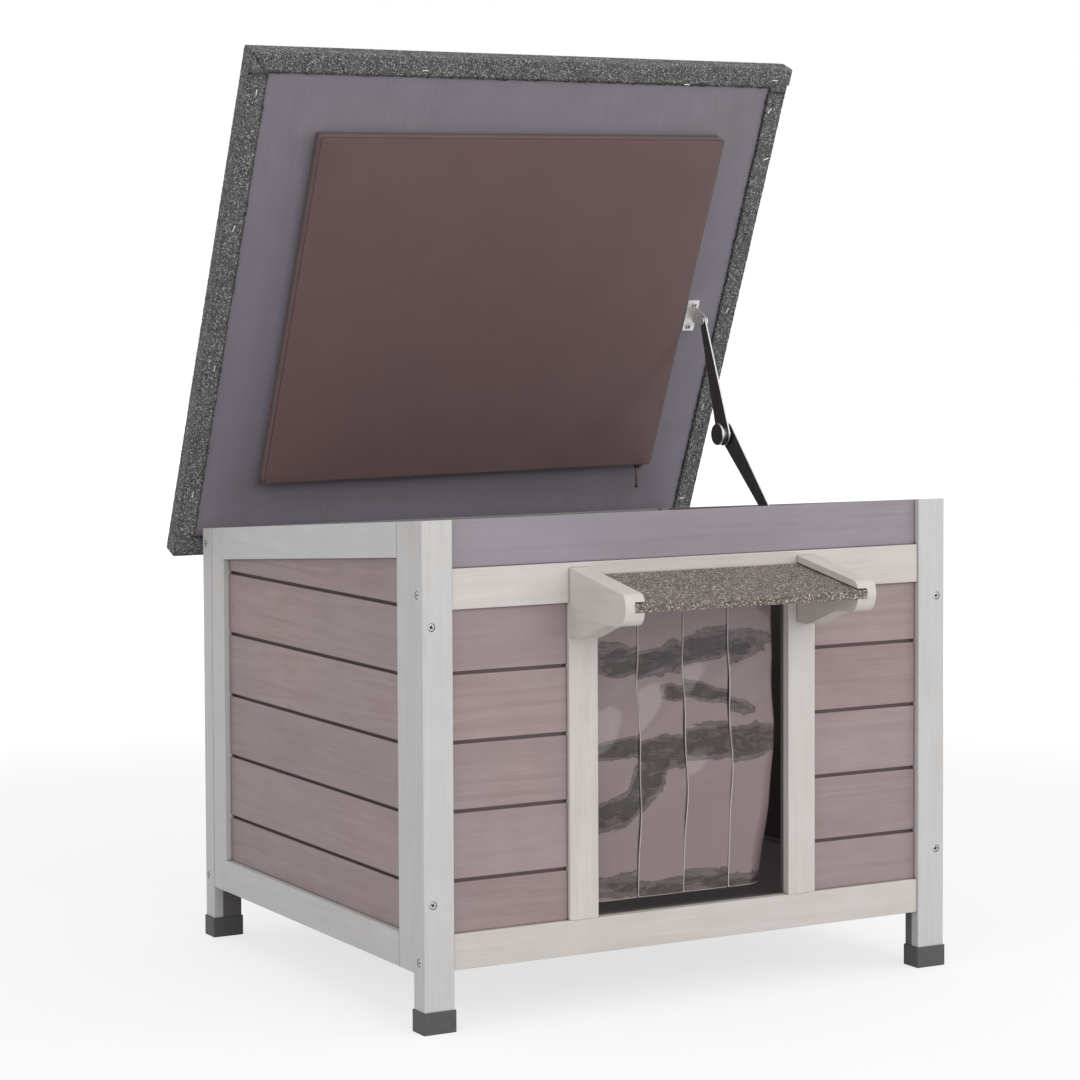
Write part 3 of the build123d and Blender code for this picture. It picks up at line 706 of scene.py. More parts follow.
@dataclass(frozen=True)
class FilmFinish(Finish):
    """Clear soft plastic strip: a pale haze, and dark ripples of painted shade and painted reflection in its
    folds.

    The piece's "ripple" value says where it is dark and "rim" how far its cut edge is.
    """

    name: str
    haze: Colour
    # The colour of the painted shade and reflection in the ripples.
    deep: Colour
    cut: Colour
    thin: float
    thick: float

    def build(self) -> bpy.types.Material:
        """Make the strip's material.

        Returns:
            The material.
        """
        material, graph, shader = self.start(0.06, Specular_IOR_Level=0.5, IOR=1.52)
        # Painted shade and painted reflection: the ripple field, ragged by noise, with fold and contour
        # lines, darkens the film towards the deep colour.
        here = graph.here()
        field_of_ripples = graph.add("ShaderNodeAttribute", attribute_name="ripple").outputs["Fac"]
        rag = graph.noise(graph.stretched(here, (19, 19, 46)), 1.0, 4.0, 0.6, 1.4)
        level = graph.maths("MULTIPLY_ADD", graph.maths("SUBTRACT", rag, 0.5), 1.0, field_of_ripples)
        core = graph.span(level, (0.6, 0.7), (0.0, 1.0), smooth=True)
        halo = graph.span(level, (0.36, 0.42), (0.0, 1.0), smooth=True)
        curl = graph.noise(graph.stretched(here, (26, 26, 80)), 1.0, 4.0, 0.65, 2.2)
        swing = graph.maths("SUBTRACT", curl, 0.5)
        fold = graph.span(graph.maths("ABSOLUTE", swing), (0.0, 0.03), (1.0, 0.0))
        share = graph.maths("MULTIPLY_ADD", halo, 0.5, graph.maths("MULTIPLY", core, 0.28))
        share = graph.maths("MULTIPLY_ADD", graph.maths("MULTIPLY", halo, fold), 0.22, share)
        share = graph.maths("MULTIPLY_ADD", graph.maths("MULTIPLY", halo, swing), 0.9, share)
        contour = graph.maths("ABSOLUTE", graph.maths("SUBTRACT", level, 0.42))
        contour = graph.span(contour, (0.0, 0.025), (0.16, 0.0))
        share = graph.maths("ADD", share, contour, clamp=True)
        streak = graph.noise(graph.stretched(here, (260, 260, 5)), 1.0, 3.0, 0.6)
        tone = graph.maths("MULTIPLY_ADD", graph.maths("SUBTRACT", streak, 0.5), 0.22, share, clamp=True)
        colour = graph.blend(linear(self.haze), linear(self.deep), tone)
        rim = graph.add("ShaderNodeAttribute", attribute_name="rim").outputs["Fac"]
        cut = graph.span(rim, (0.5, 1.1), (0.85, 0.0), smooth=True)
        graph.feed(shader.inputs["Base Color"], graph.blend(colour, linear(self.cut), cut))
        graph.feed(shader.inputs["Alpha"], graph.span(share, (0.0, 1.0), (self.thick, self.thin)))
        graph.feed(shader.inputs["Roughness"], graph.span(streak, (0.3, 0.7), (0.04, 0.14)))
        return material


# ---------------------------------------------------------------- surfaces


def lattice(rows: int, columns: int, ring: bool = False) -> np.ndarray:
    """Quads of a grid whose points are numbered row by row.

    Args:
        rows: Rows of points.
        columns: Points in a row.
        ring: Whether each row closes on itself.

    Returns:
        An array of four point numbers for each quad.
    """
    width = columns if ring else columns - 1
    i, j = np.meshgrid(np.arange(rows - 1), np.arange(width), indexing="ij")
    k = (j + 1) % columns
    quads = np.stack([i * columns + j, i * columns + k, (i + 1) * columns + k, (i + 1) * columns + j], -1)
    return quads.reshape(-1, 4)


def surface(name: str, points: np.ndarray, faces: Sequence, material: bpy.types.Material | None = None,
            sharp: float = 40.0, **masks: np.ndarray) -> bpy.types.Object:
    """Make a mesh object from points and faces.

    Args:
        name: The piece's name.
        points: Points in metres.
        faces: Point numbers of each face.
        material: What it is finished in.
        sharp: Edges that turn by more than this many degrees stay sharp.
        masks: A value for each point, kept under its own name for the material to read.

    Returns:
        The new object, at the origin.
    """
    mesh = bpy.data.meshes.new(name)
    mesh.from_pydata(np.asarray(points).reshape(-1, 3).tolist(), [], [list(map(int, f)) for f in faces])
    mesh.update()
    for label, values in masks.items():
        layer = mesh.attributes.new(label, "FLOAT", "POINT")
        layer.data.foreach_set("value", np.asarray(values, np.float32).ravel())
    piece = bpy.data.objects.new(name, mesh)
    bpy.context.scene.collection.objects.link(piece)
    finish_mesh(piece, sharp)
    if material:
        mesh.materials.append(material)
    return piece


def finish_mesh(piece: bpy.types.Object, sharp: float) -> None:
    """Merge doubled points, turn the faces outward and shade them smooth.

    Args:
        piece: The object.
        sharp: Edges that turn by more than this many degrees stay sharp.
    """
    shape = bmesh.new()
    shape.from_mesh(piece.data)
    bmesh.ops.remove_doubles(shape, verts=shape.verts, dist=1e-6)
    bmesh.ops.recalc_face_normals(shape, faces=shape.faces)
    shape.to_mesh(piece.data)
    shape.free()
    piece.data.polygons.foreach_set("use_smooth", np.ones(len(piece.data.polygons), bool))
    piece.data.set_sharp_from_angle(angle=math.radians(sharp))


def baked(piece: bpy.types.Object, name: str) -> bpy.types.Object:
    """Apply a piece's modifiers by putting their result in a new object.

    Args:
        piece: The object, which is removed.
        name: The new object's name.

    Returns:
        The new object.
    """
    graph = bpy.context.evaluated_depsgraph_get()
    graph.update()
    mesh = bpy.data.meshes.new_from_object(piece.evaluated_get(graph))
    old = piece.data
    bpy.data.objects.remove(piece)
    bpy.data.meshes.remove(old)
    mesh.name = name
    result = bpy.data.objects.new(name, mesh)
    bpy.context.scene.collection.objects.link(result)
    return result


def smooth_noise(samples: int, waves: int, seed: int) -> np.ndarray:
    """A closed random curve: a sum of sines with random phases, the fast ones weaker.

    Args:
        samples: How many values.
        waves: How many sines.
        seed: What the phases are drawn from.

    Returns:
        Values around 0, most of them within 1.
    """
    random = np.random.default_rng(seed)
    t = np.linspace(0, 2 * math.pi, samples, endpoint=False)
    counts = np.arange(1, waves + 1)
    phases = random.uniform(0, 2 * math.pi, waves)
    heights = random.normal(0, 1, waves) / np.sqrt(counts)
    curve = (heights[:, None] * np.sin(counts[:, None] * t + phases[:, None])).sum(0)
    return curve / max(1e-9, np.abs(curve).max())


# ---------------------------------------------------------------- studio


@dataclass
class Studio:
    """Pale floor, soft lamps and the photograph's camera."""

    ambient: float = 0.6
    floor_colour: float = 0.7
    floor_shown: float = 0.3
    floor_glow: float = 0.72
    near: float = 1.1
    far: float = 2.6
    place: tuple[float, float, float] = (-1.4519, -2.53495, 0.6447)
    yaw: float = 29.0674
    pitch: float = 2.8492
    roll: float = -0.25487
    lens: float = 99.19
    lift: float = -0.0821
    lamps: tuple = (
        ("key", (0.3, -3.4, 1.5), 2.4, 34.0),
        ("side", (2.9, -2.1, 1.35), 0.9, 14.0),
        ("fill", (-3.0, -1.6, 1.4), 2.2, 15.0),
        ("top", (0.2, -0.6, 3.0), 2.4, 9.0),
    )

    def seen(self, graph: Graph) -> Socket:
        """A mask of the rays that show the background: camera, glossy and transmission.

        Args:
            graph: The shader's graph.

        Returns:
            1 on such rays and 0 on all others.
        """
        path = graph.add("ShaderNodeLightPath")
        both = graph.maths("MAXIMUM", path.outputs["Is Camera Ray"], path.outputs["Is Glossy Ray"])
        return graph.maths("MAXIMUM", both, path.outputs["Is Transmission Ray"])

    def build_world(self) -> None:
        """White where it is seen, and an even soft light on everything else."""
        world = bpy.data.worlds.new("studio")
        world.use_nodes = True
        graph = Graph(world.node_tree)
        back = world.node_tree.nodes["Background"]
        back.inputs["Color"].default_value = (1, 1, 1, 1)
        graph.feed(back.inputs["Strength"], graph.span(self.seen(graph), (0.0, 1.0), (self.ambient, 1.0)))
        bpy.context.scene.world = world

    def build_floor(self) -> None:
        """A wide floor that keeps a soft shadow near the object and is plain white beyond."""
        half = 15.0
        corners = np.array([(-half, -half, 0), (half, -half, 0), (half, half, 0), (-half, half, 0)])
        floor = surface("studio_floor", corners, [(0, 1, 2, 3)])
        material = bpy.data.materials.new("studio floor")
        material.use_nodes = True
        graph = Graph(material.node_tree)
        graph.tree.nodes.remove(graph.tree.nodes["Principled BSDF"])
        reach = graph.vector_maths("LENGTH", graph.here(), (0, 0, 0)).outputs["Value"]
        away = graph.span(reach, (self.near, self.far), (self.floor_glow, 1.0), smooth=True)
        strength = graph.maths("MULTIPLY", away, self.seen(graph))
        tone = graph.span(self.seen(graph), (0.0, 1.0), (self.floor_colour, self.floor_shown))
        plain = graph.add("ShaderNodeBsdfDiffuse", {"Color": tone}).outputs[0]
        glow = graph.add("ShaderNodeEmission", {"Strength": strength}).outputs[0]
        both = graph.add("ShaderNodeAddShader", {0: plain, 1: glow}).outputs[0]
        graph.feed(graph.tree.nodes["Material Output"].inputs[0], both)
        floor.data.materials.append(material)

    def build_lamps(self) -> None:
        """Square soft lamps that point at the middle of the object."""
        target = Vector((0, 0, 0.42))
        for name, place, size, power in self.lamps:
            light = bpy.data.lights.new(name, "AREA")
            light.shape, light.size, light.energy = "SQUARE", size, power
            lamp = bpy.data.objects.new(name, light)
            lamp.location = place
            lamp.rotation_euler = (target - Vector(place)).to_track_quat("-Z", "Y").to_euler()
            bpy.context.scene.collection.objects.link(lamp)

    def build_camera(self) -> None:
        """The camera of the photograph, turned by yaw from +Y, pitched down and rolled."""
        yaw, pitch, roll = (math.radians(a) for a in (self.yaw, self.pitch, self.roll))
        ahead = Vector((math.sin(yaw) * math.cos(pitch), math.cos(yaw) * math.cos(pitch), -math.sin(pitch)))
        level = Vector((math.cos(yaw), -math.sin(yaw), 0))
        upward = level.cross(ahead)
        right = math.cos(roll) * level + math.sin(roll) * upward
        above = -math.sin(roll) * level + math.cos(roll) * upward
        data = bpy.data.cameras.new("photo camera")
        data.lens, data.sensor_width, data.shift_y = self.lens, 36.0, self.lift
        data.clip_start, data.clip_end = 0.05, 60.0
        camera = bpy.data.objects.new("photo camera", data)
        turn = Matrix((right, above, -ahead)).transposed().to_4x4()
        camera.matrix_world = Matrix.Translation(self.place) @ turn
        bpy.context.scene.collection.objects.link(camera)
        bpy.context.scene.camera = camera

    def build(self) -> None:
        """Set up the whole studio."""
        bpy.context.scene.view_settings.view_transform = "Standard"
        self.build_world()
        self.build_floor()
        self.build_lamps()
        self.build_camera()
        LOG.info("studio: floor, %d lamps and camera", len(self.lamps))


# ---------------------------------------------------------------- the house's boards


@dataclass
class Dressing:
    """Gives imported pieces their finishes, one material for a whole list of pieces."""

    done: list[str] = field(default_factory=list)

    def put(self, finish: Finish, *names: str) -> bpy.types.Material:
        """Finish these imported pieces.

        Args:
            finish: The finish.
            names: The pieces' names.

        Returns:
            The finish's material.
        """
        material = finish.build()
        for name in names:
            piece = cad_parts[name]
            if not piece.material_slots:
                piece.data.materials.append(material)
            for place in piece.material_slots:
                place.material = material
            self.done.append(name)
        LOG.info("%s: %s", finish.name, ", ".join(names) or "new pieces")
        return material


class Stain(Enum):
    """The stains of the house's woods: light, dark and cool tones."""

    FRAME = ((214, 214, 214), (188, 184, 181), (204, 205, 207))
    FRONT = ((221, 216, 212), (192, 181, 173), (212, 209, 208))
    SLAT = ((172, 153, 152), (138, 117, 115), (154, 142, 150))
    TOP_BOARD = ((160, 152, 159), (138, 127, 134), (152, 146, 158))


@dataclass
class House:
    """The box of the house: posts, rails, jambs, slatted walls, floor and canopy."""

    front_slats: tuple[float, float] = (133.4, 61.6)
    side_slats: tuple[float, float] = (128.6, 61.8)

    @staticmethod
    def wood(stain: Stain, grain: Grain, name: str = "", **shares: object) -> WoodFinish:
        """One of the house's woods.

        Args:
            stain: Its colours.
            grain: Which way it runs.
            name: The finish's name, where it is not that of the stain and the grain.
            shares: Further settings of the finish.

        Returns:
            The finish.
        """
        name = name or f"{stain.name.lower()} wood {grain.name.lower()}"
        return WoodFinish(name, *stain.value, grain, **shares)

    def build(self, dressing: Dressing) -> None:
        """Finish the house's pieces.

        Args:
            dressing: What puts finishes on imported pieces.
        """
        sides = ("left", "right")
        posts = [f"post_{row}_{side}" for row in ("front", "back") for side in sides]
        stiles = [f"{side}_side_{end}_stile" for side in sides for end in ("front", "rear")]
        side_rails = [f"{side}_side_{level}_rail" for side in sides for level in ("top", "bottom")]
        frame_shares = {"fibre": 0.35, "rings": 0.1, "patches": 0.5}
        front_shares = {"fibre": 0.38, "rings": 0.14, "patches": 0.5}
        slat_shares = {"fibre": 0.3, "rings": 0.17, "patches": 0.5}
        across, deep, upright = Grain.ACROSS, Grain.DEEP, Grain.UPRIGHT
        dressing.put(self.wood(Stain.FRAME, upright, **frame_shares), *posts, *stiles)
        dressing.put(self.wood(Stain.FRAME, deep, **frame_shares), *side_rails, "floor_cleat_left",
                     "floor_cleat_right")
        dressing.put(self.wood(Stain.FRAME, across, **frame_shares), "back_top_rail", "back_bottom_rail",
                     "floor_board", "flap_batten", "canopy_board")
        dressing.put(self.wood(Stain.FRONT, across, **front_shares), "front_bottom_rail", "front_top_rail")
        dressing.put(self.wood(Stain.FRONT, upright, **front_shares), "door_jamb_left", "door_jamb_right")
        dressing.put(self.wood(Stain.FRONT, deep, **front_shares), "canopy_bracket_left",
                     "canopy_bracket_right")
        dressing.put(self.wood(Stain.SLAT, across, "front slat wood", slats=self.front_slats, **slat_shares),
                     "front_slats_left", "front_slats_right", "back_slats")
        dressing.put(self.wood(Stain.SLAT, deep, "side slat wood", slats=self.side_slats, **slat_shares),
                     "left_slats", "right_slats")
        dressing.put(self.wood(Stain.TOP_BOARD, across, "top board wood", fibre=0.3, rings=0.14),
                     "front_top_board")
        caps = [f"foot_cap_{row}_{side}" for row in ("front", "back") for side in sides]
        dressing.put(RubberFinish("cap rubber", (78, 78, 78), (100, 99, 98)), *caps)


# Dark ripples of painted shade and painted reflection on the curtain, in millimetres: across, height, half
# width, half height, tilt, weight
RIPPLES = (
    (10, 322, 84, 16, 0.1, 0.95),
    (-84, 320, 18, 14, 0.0, 0.6),
    (-70, 306, 26, 7, 0.1, 0.6),
    (-6, 285, 26, 8, -0.15, 0.95),
    (42, 274, 34, 8, -0.2, 0.85),
    (-60, 234, 50, 10, 0.1, 1.15),
    (40, 235, 66, 16, 0.08, 1.15),
    (-44, 207, 19, 22, 0.7, 0.9),
    (-84, 173, 30, 14, 0.2, 1.15),
    (0, 103, 130, 13, -0.02, 0.8),
)


@dataclass
class Curtain:
    """Four clear strips that hang under a band behind the doorway's top rail."""

    start: float = -102.5
    width: float = 48.5
    pitch: float = 49.3
    middle: float = FRONT_Y + 16.8
    top: float = 373.5
    bottom: float = 97.0
    thickness: float = 0.8
    columns: int = 25
    rows: int = 140
    haze: Colour = (144, 127, 130)
    # The colour of the painted shade and reflection in the ripples.
    deep: Colour = (48, 40, 39)
    cut: Colour = (226, 214, 214)
    ripples: tuple = RIPPLES

    def field_of_ripples(self, x: np.ndarray, z: np.ndarray) -> np.ndarray:
        """Where the film is painted dark with shade and reflection: a sum of bells, each stretched, sloped
        and placed.

        Args:
            x: Place across, in millimetres.
            z: Height in millimetres.

        Returns:
            The sum, about 1 in the middle of a ripple.
        """
        total = np.zeros_like(x)
        for cx, cz, wide, tall, tilt, weight in self.ripples:
            rise = z - cz - tilt * (x - cx)
            total += weight * np.exp(-(((x - cx) / wide) ** 4) - (rise / tall) ** 2)
        return total

    def shape(self, index: int) -> tuple[np.ndarray, np.ndarray]:
        """A strip's surface, which bows forward, ripples, and curls back at the free corner.

        Args:
            index: Which strip, from 0 at the left.

        Returns:
            Points in millimetres as rows by columns, and the ripple value of each.
        """
        s, t = np.meshgrid(np.linspace(0, 1, self.columns), np.linspace(0, 1, self.rows))
        z = self.top + (self.bottom - self.top) * t
        x = self.start + index * self.pitch + self.width * s
        free = np.clip((t - 0.03) / 0.2, 0, 1) ** 2
        bow = -7.0 * np.exp(-(((t - 0.62) / 0.24) ** 2))
        phase = 1.7 * index
        wave = 1.6 * np.sin(2 * math.pi * (3.3 * t + 0.35 * s) + phase) * np.sin(math.pi * (0.2 + 0.8 * t))
        cup = (1.4 - 0.5 * index) * (2 * s - 1) ** 2
        y = self.middle + free * (bow + wave + cup) + 0.25 * index
        sway = 1.2 * np.sin(2 * math.pi * (1.1 * t) + phase) * free
        if index == 3:
            curl = np.clip((s - 0.35) / 0.65, 0, 1) ** 2 * np.clip((t - 0.35) / 0.65, 0, 1) ** 1.5
            y = y + 15.0 * curl
            x = x - 5.0 * curl
        return np.stack([x + sway * 0.4, y, z], -1), self.field_of_ripples(x, z + (-5, 2, -3, 3)[index])

    def build(self, dressing: Dressing) -> None:
        """Make the four strips and finish the band.

        Args:
            dressing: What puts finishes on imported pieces.
        """
        film = FilmFinish("clear strip", self.haze, self.deep, self.cut, 0.82, 0.9).build()
        dressing.put(FilmFinish("clear band", self.haze, self.deep, self.haze, 0.6, 0.8), "flap_band")
        for index in range(4):
            points, ripple = self.shape(index)
            down, along = np.meshgrid(np.linspace(self.top - self.bottom, 0, self.rows),
                                      np.linspace(0, self.width, self.columns), indexing="ij")
            rim = np.minimum(down, along if index else 9.0)
            grid = lattice(self.rows, self.columns)
            piece = surface(f"curtain_strip_{index + 1}", points * MM, grid, film, ripple=ripple, rim=rim)
            solid = piece.modifiers.new("thickness", "SOLIDIFY")
            solid.thickness, solid.offset = self.thickness * MM, 0.0
            strip = baked(piece, f"curtain_strip_{index + 1}")
            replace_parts(strip, f"flap_{index + 1}")
            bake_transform(strip)
            LOG.info("%s: %d points", strip.name, len(strip.data.vertices))


# ---------------------------------------------------------------- the lid


@dataclass(frozen=True)
class LidFrame:
    """The open lid's own axes: u across, v up from the hinge, level toward the inside."""

    angle: float = math.radians(66.85)
    pin: tuple[float, float] = (FRONT_Y + 499.1, 413.4296)
    drop: float = 3.23

    @property
    def up(self) -> tuple[float, float, float]:
        """The direction from the hinge to the free edge."""
        return (0.0, -math.cos(self.angle), math.sin(self.angle))

    @property
    def inward(self) -> tuple[float, float, float]:
        """The direction from the lid's outside to its inside."""
        return (0.0, -math.sin(self.angle), -math.cos(self.angle))

    def place(self, u: np.ndarray, v: np.ndarray, level: np.ndarray) -> np.ndarray:
        """Points of the lid, as the origin plus v times up plus level times inward.

        Args:
            u: Distance across, in millimetres.
            v: Distance up the lid.
            level: Distance inside the fold's face.

        Returns:
            Points in metres.
        """
        u, v, level = np.broadcast_arrays(u, v, level)
        y = self.pin[0] - self.drop * self.inward[1] + v * self.up[1] + level * self.inward[1]
        z = self.pin[1] - self.drop * self.inward[2] + v * self.up[2] + level * self.inward[2]
        return np.stack([u, y, z], -1) * MM


def rounded_corner(across: np.ndarray, along: np.ndarray, radius: float) -> tuple[np.ndarray, np.ndarray]:
    """Round a square corner, by pulling the square beside it onto a quarter disc.

    Args:
        across: Distance inside the nearer side edge.
        along: Distance inside the nearer end edge.
        radius: The corner's radius.

    Returns:
        Both distances after rounding.
    """
    dx, dy = np.clip(radius - across, 0, None), np.clip(radius - along, 0, None)
    length = np.hypot(dx, dy)
    share = np.where((dx > 0) & (dy > 0), np.maximum(dx, dy) / np.maximum(length, 1e-9), 1.0)
    return across + dx * (1 - share), along + dy * (1 - share)


@dataclass
class LidFelt:
    """Felt over the lid, folded round its edges and in over its underside."""

    lid: LidFrame
    half: float = 306.0
    low: float = -29.8
    high: float = 511.5
    fold: float = 21.3
    thickness: float = 3.0
    panel: float = 15.0
    lift: float = 4.0
    round: float = 2.4
    step: float = 2.0
    overlap: float = 1.3
    spread: float = 1.6
    skew: float = 3.7
    wire: float = 0.62
    staples: tuple = (
        (183.1, 494.7, 0), (290.1, 502.6, 0), (292.3, 468.6, 60), (301.5, 414.6, 20), (296.7, 239.8, 70),
        (293.5, 124.2, 80), (294.1, 13.1, 10), (-120, 499, 0), (-296, 470, 90), (-297, 330, 80),
        (-294, 180, 90), (-296, 40, 85), (-240, -18, 0), (0, -18, 0), (240, -18, 0),
    )

    def profile(self) -> np.ndarray:
        """The felt's section: inset from the lid's edge, and level, from the outer face's middle
        round the edge to the fold's lip and back along the board to the middle.

        Returns:
            Rows of inset, level, how ragged the inset is and how rough the face is.
        """
        top = -self.lift - self.panel - self.thickness
        inner_top = top + self.thickness
        middle = (self.high - self.low) / 2
        rows = [(d, top, 0.0, 1.0 * (d < 80)) for d in (middle, 220, 170, 125, 90, 60, 38, 24, 15, 9, 5)]
        turn = np.radians(np.linspace(90, 180, 6))
        rows += [(self.round + self.round * math.cos(a), top + self.round - self.round * math.sin(a), 0, 1)
                 for a in turn]
        rows += [(0.0, level, 0.0, 1.0) for level in np.linspace(top + self.round + 2, -self.round - 2, 7)]
        rows += [(self.round + self.round * math.cos(a), -self.round + self.round * math.sin(a), 0, 1)
                 for a in np.radians(np.linspace(180, 90, 6))]
        insets, shares = np.linspace(4.5, self.fold - 0.5, 9), np.linspace(0, 1, 9)
        rows += [(d, 0.0, share, 1.0) for d, share in zip(insets, shares)]
        rows += [(self.fold, -0.7, 1.0, 0.6), (self.fold, -2.0, 1.0, 0.3)]
        rows += [(self.fold - 0.2, -self.lift, 1.0, 0.0)]
        rows += [(12.0, -self.lift, 0.0, 0.0), (self.thickness, -self.lift, 0.0, 0.0)]
        rows += [(d, inner_top, 0.0, 0.0) for d in (self.thickness, 60, middle)]
        return np.array(rows, float)

    def ring(self) -> tuple[np.ndarray, np.ndarray]:
        """Where round the edge each sample lies: its side, and its share along that side.

        Returns:
            The side numbers and the shares from -1 to 1.
        """
        lengths = (2 * self.half, self.high - self.low) * 2
        counts = [int(length / self.step) for length in lengths]
        side = np.concatenate([np.full(n, i) for i, n in enumerate(counts)])
        share = np.concatenate([np.linspace(-1, 1, n, endpoint=False) for n in counts])
        return side, share

    def build(self, felt: bpy.types.Material) -> bpy.types.Object:
        """Carry the section round the lid's four sides with mitred corners.

        At inset d each side of the rectangle is d inside, and a sample keeps its share of
        that side's length, so the corners meet on the mitre. The side folds lie lower than the
        top fold, which laps over them, and a bell-shaped crease runs down each top mitre.
        Painted shade darkens the top fold's lap, the creases and the fold's lip.

        Args:
            felt: The felt's material.

        Returns:
            The felt.
        """
        side, share = self.ring()
        rows = self.profile()
        random = np.random.default_rng(7)
        count = len(side)
        rag = 0.7 * smooth_noise(count, 240, 11) + 0.45 * random.normal(0, 1, count)
        inset = rows[:, 0:1] + rows[:, 2:3] * rag[None, :]
        level = np.broadcast_to(rows[:, 1:2], inset.shape).copy()
        grit = rows[:, 3:4] * random.uniform(-0.6, 0.0, inset.shape)
        centre = (self.high + self.low) / 2
        half_v = (self.high - self.low) / 2
        long_half, short_half = self.half - inset, half_v - inset
        sides = [side == 0, side == 1, side == 2]
        u = np.select(sides, [share * long_half, long_half, -share * long_half], -long_half)
        v = np.select(sides, [-short_half, share * short_half, short_half], -share * short_half)
        near_u, near_v = rounded_corner(self.half - np.abs(u), half_v - np.abs(v), 1.4)
        u, v = np.sign(u) * (self.half - near_u), np.sign(v) * (half_v - near_v)
        edge = (rows[:, 0:1] < 0.5) * 1.0
        face = np.sign(level + self.lift + self.panel / 2) * (1 - edge)
        level = level + grit * face
        out = 1 + edge * grit / self.half
        v = v + centre
        folded = (level > -1.5) & (inset < self.fold + 3)
        over = np.clip((v - (self.high - self.fold) - 0.6 * rag[None, :]) / 1.6, 0, 1)
        mitre = (self.half - np.abs(u)) - (self.high - v) * 0.85
        crease = np.exp(-((mitre / 1.3) ** 2)) * (self.high - v < self.fold)
        level = level + folded * (self.overlap * (over - 1) - 0.8 * crease * over)
        u = u * out + self.spread * np.sign(u) * np.clip((np.abs(u) - 260) / 20, 0, 1)
        v = v + self.skew * (u / self.half + 1) / 2 * np.clip((v - 300) / 180, 0, 1)
        # Painted shade along the lap of the top fold, the mitre creases and the fold's lip, kept for the
        # felt's material.
        lap = np.exp(-(((self.high - self.fold - 1.5 - v) / 1.3) ** 2)) * folded + crease * over * folded
        lip = (inset > self.fold - 2.2) * (inset < self.fold + 3) * (level > -self.lift - 0.1)
        lap = np.maximum(lap, 0.8 * lip)
        points = self.lid.place(u, v, level)
        tube = lattice(len(rows), count, ring=True)
        piece = surface("lid_felt_cover", points, tube, felt, sharp=70, lap=np.clip(lap, 0, 1))
        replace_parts(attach(piece, "lid"), "lid_felt")
        LOG.info("%s: %d points", piece.name, len(piece.data.vertices))
        return piece

    def build_ear(self, felt: bpy.types.Material) -> bpy.types.Object:
        """The end of the top fold that stands past the right edge, folded round the lid's edge.

        Its outline is a rectangle with rounded corners and a ragged lower end, and its
        thickness falls off as a half ellipse at the rim.

        Args:
            felt: The felt's material.

        Returns:
            The patch.
        """
        count = 31
        a, b = np.meshgrid(np.linspace(-1, 1, count), np.linspace(-1, 1, count))
        random = np.random.default_rng(23)
        near_a, near_b = rounded_corner((1 - np.abs(a)) * 11.7, (1 - np.abs(b)) * 9.5, 2.4)
        ragged = 0.5 * random.normal(0, 1, (1, count)) * (b < -0.95)
        u = 298.2 + np.sign(a) * (11.7 - near_a)
        v = 505.9 + np.sign(b) * (9.5 - near_b) + ragged
        rim = np.clip(np.minimum(near_a, near_b) / 1.5, 0, 1)
        swell = 11.2 * np.sqrt(1 - (1 - rim) ** 2)
        grit = random.uniform(-0.2, 0.2, u.shape) * rim
        middle = -11.1
        upper = self.lid.place(u, v, middle + swell + grit)
        lower = self.lid.place(u, v, middle - swell + grit)
        faces = lattice(count, count)
        faces = np.concatenate([faces, faces[:, ::-1] + count * count])
        points = np.concatenate([upper.reshape(-1, 3), lower.reshape(-1, 3)])
        piece = surface("lid_felt_ear", points, faces, felt, 70)
        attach(piece, "lid")
        return piece

    def build_staples(self, steel: bpy.types.Material) -> bpy.types.Object:
        """Staple crowns over the fold: a round wire carried along a path that dips at its ends.

        Args:
            steel: The staples' material.

        Returns:
            All the staples as one piece.
        """
        along = np.array([-3.4, -3.4, -3.1, -2.4, 2.4, 3.1, 3.4, 3.4])
        rise = np.array([-1.2, -0.2, 0.35, 0.5, 0.5, 0.35, -0.2, -1.2])
        angle = np.linspace(0, 2 * math.pi, 10, endpoint=False)
        points, faces = [], []
        tube = lattice(len(along), len(angle), ring=True)
        for number, (across, up, turn) in enumerate(self.staples):
            c, s = math.cos(math.radians(turn)), math.sin(math.radians(turn))
            base = -0.7 - (self.overlap if up < self.high - self.fold else 0.0)
            side = self.wire * np.cos(angle)[None, :]
            u = across + along[:, None] * c - side * s
            v = up + along[:, None] * s + side * c
            level = base + rise[:, None] + self.wire * np.sin(angle)[None, :]
            points.append(self.lid.place(u, v, level).reshape(-1, 3))
            first = number * tube.max() + number
            faces += (tube + first).tolist()
            faces += [list(range(first, first + 10)), list(range(first + 70, first + 80))]
        piece = surface("felt_staple_wires", np.concatenate(points), faces, steel, 60)
        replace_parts(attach(piece, "lid"), "felt_staples")
        LOG.info("%s: %d staples", piece.name, len(self.staples))
        return piece


